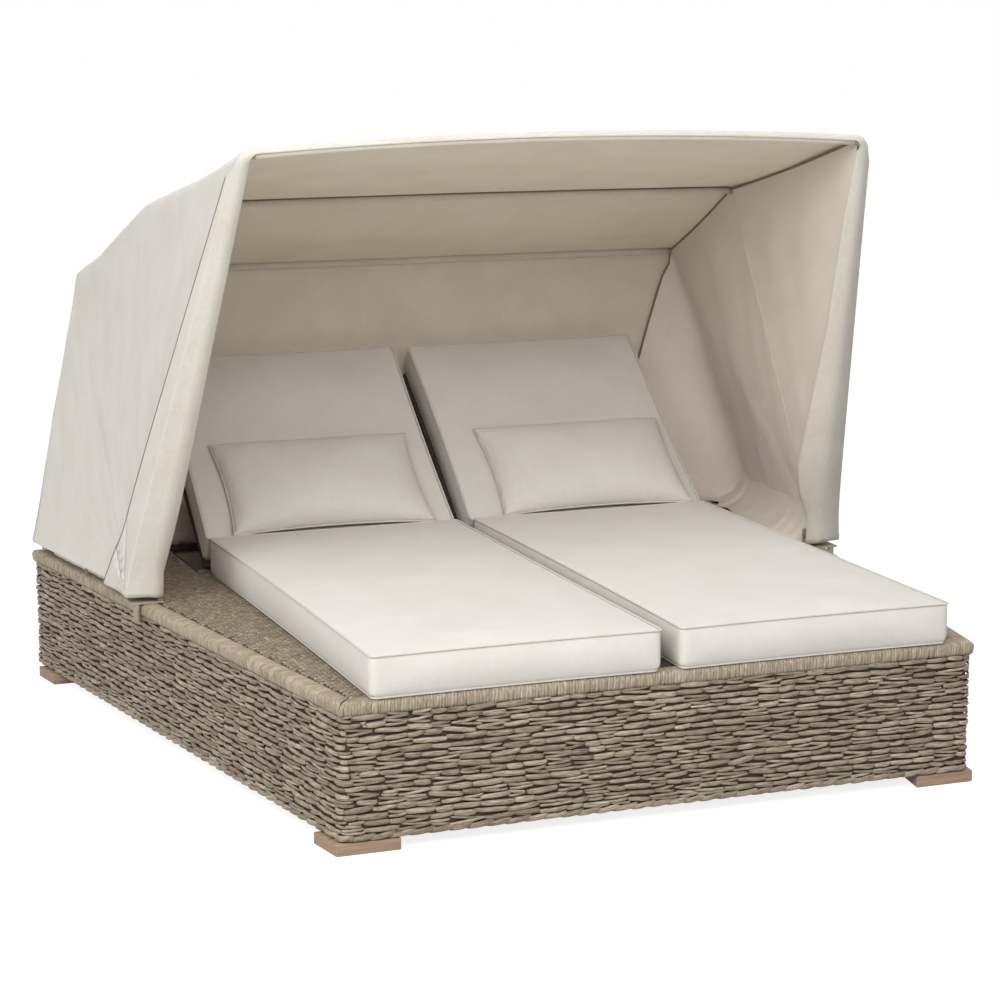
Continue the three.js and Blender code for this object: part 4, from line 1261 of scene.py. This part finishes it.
def cloth_from_grid(name, grid):
    """A thin sheet, with UV in metres along and across its grid."""
    rows, columns = grid.shape[:2]
    faces = [
        (r * columns + c, (r + 1) * columns + c, (r + 1) * columns + c + 1, r * columns + c + 1)
        for r in range(rows - 1) for c in range(columns - 1)
    ]
    sheet = new_piece(name, grid.reshape(-1, 3), faces)
    v, u = lengths_along(grid[:, columns // 2]), lengths_along(grid[rows // 2])
    give_uv(sheet, np.stack(np.meshgrid(v, u, indexing="ij"), -1).reshape(-1, 2))
    return sheet


def thickened(piece, thick=CLOTH_THICK):
    apply_modifier(piece, "SOLIDIFY", thickness=thick, offset=0.0)
    smooth(piece)
    return piece


def shared_normals(grids):
    """Normals of three sheets that meet at the bows, so that they are shaded as one."""
    whole = np.concatenate([grids[0], grids[1][:, 1:], grids[2][:, 1:]], axis=1)
    normals = unit(np.cross(np.gradient(whole, axis=0), np.gradient(whole, axis=1)))
    return [normals[:, i * SPAN_STEPS:(i + 1) * SPAN_STEPS + 1] for i in range(3)]


def keep_normals(piece, normals):
    """Gives both faces of a thickened sheet the normals of the whole cloth."""
    normals = normals.reshape(-1, 3)
    points = read_points(piece)
    count = len(normals)
    signs = np.ones(len(points))
    towards = np.sum((points[:count] - points[count:2 * count]) * normals, axis=1)
    signs[:count], signs[count:2 * count] = np.sign(towards), -np.sign(towards)
    both = np.vstack([normals, normals]) * signs[:, None]
    piece.data.normals_split_custom_set_from_vertices([tuple(n) for n in both])


def soft_max(first, second, step=SOFT_STEP):
    """The larger of two distances, with a soft change from one to the other."""
    return (first + second + math.hypot(first - second, step)) / 2


def side_place(y, z, hem_out, leg_out):
    """Side distance of a canopy cloth that stands out from the hem line and from the bows' legs."""
    angle = max(0.0, math.atan2(z - PIVOT_Z, y - PIVOT_Y))
    reach = math.hypot(y - PIVOT_Y, z - PIVOT_Z)
    legs = [leg_x(bow, reach) + leg_out for bow in BOWS.values()]
    angles = [bow["angle"] for bow in BOWS.values()]
    return np.interp(angle, [0.0, *angles], [half_width(PIVOT_Y + reach) + hem_out, *legs])


def side_face(y, z):
    """Side distance of the canopy's outer face, clear of the pivot pins."""
    face = side_place(y, z, HEM_OUT, CLOTH_OFFSET + CLOTH_LEG_EASE)
    pin_clear = half_width(PIVOT_Y) + PIN_OUT - math.hypot(y - PIVOT_Y, z - PIVOT_Z) * PIN_OUTER_CLEAR
    return soft_max(face, pin_clear)


def wrap_rows(front, normals, middle):
    """The strip round the front bow. Its folded-in edge hangs narrower on the left."""
    right = half_wrap_rows(front, normals, middle, 1.0)
    left = half_wrap_rows(front, normals, middle, LEFT_FACING) * (-1, 1, 1)
    return np.concatenate([left[:-1], right[::-1]])


def half_wrap_rows(front, normals, middle, facing):
    """Rows of the strip's right half: a lip inside, round the tube, and back to the seam."""
    last = len(front) - 1
    shares = roof_share(np.linspace(0, 1, len(front)))
    rows = []
    for i in range(-FOOT_ROWS, last // 2 + 1):
        at = last - max(i, 0)
        centre, out = front[at], normals[at]
        drop = max(-i, 0) / FOOT_ROWS
        back = unit(middle[at] - centre)
        rise = np.clip(i / LEG_STEPS, 0, 1)
        ease = WRAP_LEG_EASE * (1 - shares[at]) * (1 - (1 - WRAP_TOP_EASE) * rise)
        offset = WRAP_OFFSET + ease
        centre = centre * (1 - drop) + np.array((centre[0], PIVOT_Y - 10 * MM, WRAP_FOOT_Z)) * drop
        corner = np.clip((i - LEG_STEPS) / CORNER_STEPS, 0, 1)
        turns = [math.pi * turn * (1 - LIP_SHORTER * corner) for turn in LIP_TURNS]
        lip = [centre + (out * math.cos(turn) - back * math.sin(turn)) * offset for turn in turns]
        row = facing_points(lip[0], out, back, rise, facing) + lip
        start = centre + out * offset
        for share in np.linspace(0, 1, SPAN_STEPS + 1):
            if i >= LEG_STEPS:
                row.append(start + back * WRAP_BAND * (FLAP_TOP_BAND * (1 - corner) + corner) * share)
            else:
                row.append(flap_point(start, rise, share, drop, ease))
        rows.append(row)
    return np.array(rows)


def facing_points(start, out, back, rise, scale):
    """Folded-in edge of the strip: it widens down the leg and is rounded off at its foot."""
    width = np.interp(rise, *zip(*FACING_WIDTHS)) * MM * scale
    direction = back * math.sin(FACING_TURN) - out * math.cos(FACING_TURN)
    shares = (1.0, 0.75, 0.5, 0.25)
    return [start + (direction * share - out * 0.10 * math.sin(math.pi * share)) * width for share in shares]


def flap_point(start, rise, share, drop, ease):
    """Side flap: from the bow's outer side to the seam that runs from the top corner to the hem."""
    bow = BOWS["front"]
    top = np.array(bow_point(bow, bow["reach"] - BOW_CORNER, 0))
    top = top + np.array((0, math.sin(bow["angle"]), -math.cos(bow["angle"]))) * WRAP_BAND * FLAP_TOP_BAND
    foot = np.array((0, SEAM_HEM_Y, WRAP_HEM_Z * (1 - drop) + WRAP_FOOT_Z * drop))
    seam = foot * (1 - rise) + top * rise
    y, z = start[1:] * (1 - share) + seam[1:] * share
    near = start[0] - share * BOW_CORNER
    return np.array((soft_max(near, side_face(y, z) + ease, SOFT_STEP * min(1, 3 * share)), y, z))


def bend(piece, fan):
    """Bakes the piece's transform into its mesh."""
    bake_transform(piece)


def hang_cloth(piece, fan, node=None, cloth=CANOPY_CLOTH):
    """Material of one canopy sheet, with its transform baked and the solid that it stands for hidden."""
    finish_with(piece, cloth, "canopy_fabric")
    bend(piece, fan)
    if node:
        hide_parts(node)


def cut_by_angle(piece, name, low, high):
    """Part of a sheet between two angles about the pivot line."""
    part = copied(piece, name)
    with mesh_of(part) as mesh:
        for angle, sign in ((low, -1), (high, 1)):
            if angle is not None:
                normal = Vector((0, -math.sin(angle), math.cos(angle))) * sign
                geometry = mesh.verts[:] + mesh.edges[:] + mesh.faces[:]
                bmesh.ops.bisect_plane(mesh, geom=geometry, plane_co=PIVOT, plane_no=normal, clear_outer=True)
    return part


def make_canopy_cloth():
    rear, middle, front = (bow_line(bow) for bow in BOWS.values())
    hem = hem_line()
    front_normals, rear_normals = span_normals(front, middle), span_normals(middle, rear)
    covers = {
        "front": covering_line(front, front_normals, front_normals),
        "middle": covering_line(middle, front_normals, rear_normals),
        "rear": covering_line(rear, rear_normals, span_normals(rear, hem)),
    }
    lines = [*covers.values(), hem]
    shapes = (sagging, sagging, back_shape)
    grids = [span_grid(lines[i], lines[i + 1], shapes[i], i + 1) for i in range(3)]
    for fan, grid, normals in zip(FANS, grids, shared_normals(grids)):
        piece = thickened(cloth_from_grid(f"canopy_sheet_{fan}", grid))
        keep_normals(piece, normals)
        hang_cloth(piece, fan, f"canopy_{fan}")
    rows = wrap_rows(front, front_normals, middle)
    wrap = cloth_from_grid("wrap_whole", rows)
    low, high = BOWS["rear"]["angle"], BOWS["middle"]["angle"]
    for name, fan, bottom, top, node in (
        ("front", "front", high, None, "canopy_wrap"),
        ("middle", "rear", low, high, None),
        ("rear", "back", None, low, None),
    ):
        hang_cloth(thickened(cut_by_angle(wrap, f"canopy_wrap_{name}", bottom, top)), fan, node)
    bpy.data.objects.remove(wrap)
    make_flap_seams(rows[-LEG_STEPS - FOOT_ROWS:, -1])
    make_lining(grids[2])
    make_bar_sleeves(covers)


def make_bar_sleeves(covers):
    """Cloth sleeves along the top tubes, each with a dark line of painted shade where it meets the roof."""
    bars = {key: bow_line(bow)[BAR_START:-BAR_START] for key, bow in BOWS.items()}
    forward = {"rear": "middle", "middle": "front"}
    for key, bar in bars.items():
        parts = [tube("sleeve", placed(bar), BOW_RADIUS + SLEEVE_THICK, 4)]
        parts[0].data.materials.append(CANOPY_CLOTH)
        if key in forward:
            ahead = unit(bars[forward[key]] - bar)
            up = unit(covers[key][BAR_START:-BAR_START] - bar)
            # Dark tube of painted shade for the gap between the sleeve and the roof cloth
            parts.append(tube("gap_shade_line", placed(bar + ahead * 7.2 * MM + up * 7.6 * MM), GAP_SHADE_LINE, 2))
            parts[1].data.materials.append(SEAM_SHADE_AND_TIE_CLOTH)
        for part in parts:
            give_uv(part, read_points(part)[:, :2])
        sleeve = joined(f"bar_sleeve_{key}", parts)
        smooth(sleeve)
        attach(sleeve, f"{key}_bow")


def make_flap_seams(line):
    """Seam down the flap's rear edge, from the top corner to the hem, one part for each fan. Its dark colour is
    partly the seam's own and partly painted shadow of the flap's overlapping edge.
    """
    line = line[::-1]
    angles = np.arctan2(line[:, 2] - PIVOT_Z, line[:, 1] - PIVOT_Y)
    order = np.argsort(angles)
    line, angles = line[order], angles[order]
    marks = [angles[0], BOWS["rear"]["angle"], BOWS["middle"]["angle"], angles[-1]]
    for fan, low, high in zip(("back", "rear", "front"), marks, marks[1:]):
        stops = [low, *(angle for angle in angles if low < angle < high), high]
        bend(pair_of_seams(f"flap_seam_{fan}", on_line(stops, angles, line), FLAP_SEAM, SEAM_SHADE_AND_TIE_CLOTH), fan)


def lining_line(bow):
    """Right edge of the side lining along a bow's leg, inside the tube and up to the roof cloth."""
    reaches = np.linspace(CLOTH_START, bow["reach"] + LINING_TOP, LINING_STEPS + 1)
    return np.array([bow_point(bow, reach, leg_x(bow, reach) - LINING_IN) for reach in reaches])


def lining_hem():
    """Lower edge of the side lining, just over the border roll."""
    y = np.linspace(PIVOT_Y + CLOTH_START, BASE_LENGTH + HEM_OUT - 6 * MM, LINING_STEPS + 1)
    return np.column_stack([half_width(y) - LINING_HEM_IN, y, np.full(len(y), LINING_HEM_Z)])


def lining_grid(first, second, seed):
    """Side lining between two edges, a little slack, with its top edge following the roof's sag."""
    share = np.linspace(0, 1, SPAN_STEPS + 1)
    grid = between(first, second, share)
    arch = np.sin(math.pi * share)
    place = np.linspace(0, 1, len(first))[:, None]
    slack = wrinkle(grid, seed, 150 * MM, 6 * MM, 1.8) + wrinkle(grid, seed + 5, 55 * MM, 2 * MM, 2.5)
    pucker = uneven(place[:, 0], 26, 5.1)[:, None] * PUCKER
    slack = slack * np.clip(arch * 3, 0, 1) + pucker * (1 - arch) ** 3
    grid[:, :, 0] += slack * np.clip((1 - place) * 12, 0, 1)
    outward = unit((grid - (0, PIVOT_Y, PIVOT_Z)) * (0, 1, 1))
    return grid - outward * (LINING_EDGE_SAG * arch * place ** 8)[:, :, None]


def rounded_back(grid, back):
    """Carries the side lining round the back corner in a soft curve, to a slanting seam on the back cloth."""
    keep = int(LINING_STEPS * CORNER_KEEP)
    back = back[LEG_STEPS + CORNER_STEPS // 2:-LEG_STEPS - CORNER_STEPS // 2]
    t = np.linspace(0, 1, 24)[:, None]
    for column, share in enumerate(np.linspace(0, 1, SPAN_STEPS + 1)):
        corner, line = grid[-1, column], back[:, column]
        seam = on_line([corner[0] - CORNER_SLANT * share], line[:, 0], line)[0] - (0, BACK_SEAM_IN, 0)
        seam = corner + (seam - corner) * min(1, share * 12)
        start = corner + (grid[keep, column] - corner) * min(1, share * 3) * 0.9
        path = np.vstack([grid[keep, column], curve_between(start, corner, seam, t)])
        lengths = lengths_along(path)
        grid[keep:, column] = on_line(np.linspace(0, lengths[-1], LINING_STEPS - keep + 1), lengths, path)
    return grid


def back_strip():
    """Inner strip along the back hem, hanging just over the border roll."""
    end = half_width(BASE_LENGTH) - LINING_HEM_IN
    x = np.linspace(-end, end, 61)
    rows = []
    for share in np.linspace(0, 1, 5):
        y = BASE_LENGTH - 34 * MM + 46 * MM * share + 2 * MM * np.sin(x * 40)
        rows.append(np.column_stack([x, y, np.full(len(x), LINING_HEM_Z - 1.5 * MM + 87 * MM * share)]))
    return np.array(rows).transpose(1, 0, 2)


def lining_skirt(hem):
    """Slack lower edge of the side lining, which lies in loose folds over the border roll and the deck."""
    share = np.linspace(0, 1, 13)
    y = np.linspace(hem[0, 1] - 25 * MM, hem[-1, 1] - 30 * MM, 90)
    reach = SKIRT_REACH * np.clip((y - y[0]) / 0.12, 0.45, 1)
    folds, ripples = uneven(y, 22, 3.3), uneven(y, 60, 7.7)
    grid = np.empty((len(y), len(share), 3))
    for k, t in enumerate(share):
        turn = math.pi / 2 * t
        inside = reach * (1 - math.cos(turn)) * (1 + 0.16 * folds) - 3 * MM * (1 - t)
        height = LINING_HEM_Z - 1 * MM + SKIRT_RISE * (1 - math.sin(turn))
        lift = (14 * MM * np.abs(folds) + 4 * MM * np.abs(ripples)) * math.sin(math.pi * min(1, t * 0.9))
        side = np.array([side_place(v, max(height, HEM_HEIGHT), -LINING_HEM_IN, -LINING_IN) for v in y])
        grid[:, k] = np.column_stack([side - inside, y, height + lift])
    return grid


def make_lining(back):
    """Inner side panels that hide the legs, and the binding where they meet the roof, whose dark colour is partly
    painted shade of the joint.
    """
    rear, middle, front = (lining_line(bow) for bow in BOWS.values())
    hem = lining_hem()
    edges = (front, middle, rear, hem)
    grids = [lining_grid(edges[i], edges[i + 1], i + 4) for i in range(3)]
    grids[2] = rounded_back(grids[2], back)
    # Fine seam where the side lining is sewn to the middle bow's sleeve
    seam = (grids[0][:, -1] - (2 * MM, 0, 0))[:-2]
    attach(pair_of_seams("lining_seam", seam, LINING_SEAM, LIT_LINING_CLOTH), "middle_bow")
    for fan, grid, normals in zip(FANS, grids, shared_normals(grids)):
        panels = []
        for side, sign in SIDES:
            panels.append(thickened(cloth_from_grid(f"lining_{side}", grid * (sign, 1, 1)), LINING_THICK))
            keep_normals(panels[-1], normals * (sign, 1, 1))
        if fan == "back":
            skirt = lining_skirt(hem)
            for extra in (back_strip(), skirt, skirt * (-1, 1, 1)):
                panels.append(thickened(cloth_from_grid("lining_hem", extra), LINING_THICK))
        hang_cloth(joined(f"canopy_lining_{fan}", panels), fan, cloth=LIT_LINING_CLOTH)
        bend(pair_of_seams(f"seam_binding_{fan}", grid[-1], BINDING, SEAM_SHADE_AND_TIE_CLOTH), fan)


# Bows, brackets, pins and the frame behind the weave

def make_bows():
    for key, bow in BOWS.items():
        parts = [tube(f"{key}_bow_tube", placed(bow_line(bow, (9 * MM,))), BOW_RADIUS, 5)]
        parts += [bow_eye(sign * bow["pivot_half"]) for _, sign in SIDES]
        piece = finish_with(joined(f"{key}_bow_tube", parts), POWDER_COAT, "powder_coated_tube")
        smooth_by_angle(piece, 40)
        stand_for(piece, f"{key}_bow", f"{key}_bow_bar", f"{key}_bow_leg_left", f"{key}_bow_leg_right")


def bow_eye(x):
    """Flat eye at a bow's foot, turning on the pivot pin."""
    eye = primitive(
        bpy.ops.mesh.primitive_cylinder_add, vertices=28, radius=10.5 * MM, depth=17 * MM,
        location=(x, PIVOT.y, PIVOT.z), rotation=(0, math.pi / 2, 0),
    )
    apply_modifier(eye, "BEVEL", width=1.5 * MM, segments=2, limit_method="ANGLE")
    bpy.ops.object.mode_set(mode="EDIT")
    bpy.ops.mesh.select_all(action="DESELECT")
    for face in bmesh.from_edit_mesh(eye.data).faces:
        face.select = abs(face.normal.x) > 0.99
    bmesh.update_edit_mesh(eye.data)
    bpy.ops.mesh.inset(thickness=3 * MM, depth=-0.8 * MM, use_individual=True)
    bpy.ops.object.mode_set(mode="OBJECT")
    return eye


def refined_copy(node, name, material, slot, body, bevel):
    """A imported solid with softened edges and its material."""
    piece = copied(frame["nodes"][node], name)
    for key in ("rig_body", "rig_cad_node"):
        if key in piece:
            del piece[key]
    piece.parent = None
    with mesh_of(piece) as mesh:
        bmesh.ops.remove_doubles(mesh, verts=mesh.verts, dist=0.02 * MM)
        bmesh.ops.dissolve_limit(mesh, angle_limit=math.radians(1.5), verts=mesh.verts, edges=mesh.edges)
    apply_modifier(piece, "BEVEL", width=bevel, segments=2, limit_method="ANGLE", angle_limit=math.radians(40))
    finish_with(piece, material, slot)
    smooth_by_angle(piece, 35)
    stand_for(piece, body, node)


def make_metalwork():
    paint = (POWDER_COAT, "powder_coated_tube")
    for side, _ in SIDES:
        refined_copy(f"pivot_bracket_{side}", f"bracket_{side}", *paint, "base", 1.2 * MM)
        refined_copy(f"pivot_pin_{side}", f"pin_{side}", STEEL, "steel", "base", 1.0 * MM)
        refined_copy(f"prop_rack_{side}", f"rack_{side}", *paint, "base", 1.0 * MM)
        refined_copy(f"backrest_prop_{side}", f"prop_bar_{side}", *paint, f"prop_{side}", 0.8 * MM)
    for node in (*(f"frame_rail_{wall}" for wall in WALLS), "hinge_beam", "middle_rail"):
        paint_node(node, POWDER_COAT)
    paint_node("hinge_rod", STEEL)
    for side, _ in SIDES:
        hem_tie(side)


def hem_tie(side):
    """Knotted tie at the hem: a round knot of two turns and two short ends."""
    low, high = (Vector(corner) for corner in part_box(f"hem_tie_{side}"))
    middle = (low + high) / 2
    centre = Vector((middle.x, middle.y, high.z - 5 * MM))
    parts = [
        primitive(
            bpy.ops.mesh.primitive_torus_add,
            major_radius=2.8 * MM, minor_radius=1.7 * MM, major_segments=20, minor_segments=10,
            location=centre + Vector((0, turn * 1.4 * MM, 0)), rotation=(math.pi / 2, 0, turn * 0.5),
        ) for turn in (-1, 1)
    ]
    for swing in (-1, 1):
        line = [(0, 0, 0), (0.4, swing * 1.8, -5), (1.0, swing * 3.0, -11), (0.6, swing * 3.6, -17)]
        parts.append(tube("end", np.array([centre + Vector(p) * MM for p in line]), 1.6 * MM, 3))
    for part in parts:
        give_uv(part, read_points(part)[:, 1:])
    stand_for(finish_with(joined(f"tie_{side}", parts), SEAM_SHADE_AND_TIE_CLOTH, "canopy_fabric"), "base", f"hem_tie_{side}")


def paint_node(name, material):
    mesh = frame["nodes"][name].data
    mesh.materials.clear()
    mesh.materials.append(material)


# Stage, light and camera

def seen_directly(tree):
    """One where a ray comes from the camera, by a mirror or through glass too, and else zero."""
    path = add_node(tree, "ShaderNodeLightPath").outputs
    seen = maths(tree, "MAXIMUM", path["Is Camera Ray"], path["Is Glossy Ray"])
    return maths(tree, "MAXIMUM", seen, path["Is Transmission Ray"])


def make_stage():
    """White floor that shows white to the camera and keeps a faint shadow."""
    floor = primitive(bpy.ops.mesh.primitive_plane_add, size=60, location=(0, 0, -0.5 * MM))
    floor.name = "floor"
    material = bpy.data.materials.new("white_studio_floor")
    material.use_nodes = True
    tree = material.node_tree
    tree.nodes.clear()
    seen = seen_directly(tree)
    strength = maths(tree, "MULTIPLY", seen, FLOOR_GLOW)
    glow = add_node(tree, "ShaderNodeEmission", {"Color": "#ffffff", "Strength": strength}).outputs[0]
    matt = add_node(tree, "ShaderNodeBsdfDiffuse", {"Color": "#b0afad"}).outputs[0]
    pale = add_node(tree, "ShaderNodeBsdfDiffuse", {"Color": "#c4c3c1"}).outputs[0]
    both = add_node(tree, "ShaderNodeAddShader", {0: glow, 1: matt}).outputs[0]
    choice = add_node(tree, "ShaderNodeMixShader", {0: seen, 1: pale, 2: both}).outputs[0]
    add_node(tree, "ShaderNodeOutputMaterial", {"Surface": choice})
    floor.data.materials.append(material)


def make_light():
    """Even white light from all round with a white background, and four soft lamps."""
    world = bpy.data.worlds.new("studio")
    bpy.context.scene.world = world
    world.use_nodes = True
    tree = world.node_tree
    background = tree.nodes["Background"].inputs
    direct = maths(tree, "MULTIPLY", seen_directly(tree), 1 - WORLD_LIGHT)
    fill(tree, background["Color"], "#ffffff")
    fill(tree, background["Strength"], maths(tree, "ADD", direct, WORLD_LIGHT))
    for name, (place, target, (width, depth), power) in LAMPS.items():
        lamp = bpy.data.lights.new(name, "AREA")
        assign(lamp, shape="RECTANGLE", size=width, size_y=depth, energy=power)
        turn = (Vector(target) - Vector(place)).to_track_quat("-Z", "Y").to_euler()
        assign(make_object(name, lamp), location=place, rotation_euler=turn)


def make_camera():
    camera = bpy.data.cameras.new("camera")
    assign(camera, lens=CAMERA_LENS, sensor_width=CAMERA_SENSOR)
    holder = make_object("camera", camera)
    assign(holder, location=CAMERA_PLACE, rotation_euler=CAMERA_TURN)
    bpy.context.scene.camera = holder
    bpy.context.scene.view_settings.view_transform = "Standard"


make_camera()
make_stage()
make_light()
make_walls()
make_rims()
make_deck()
make_panels()
make_feet()
make_bows()
make_metalwork()
make_canopy_cloth()
make_cushions()
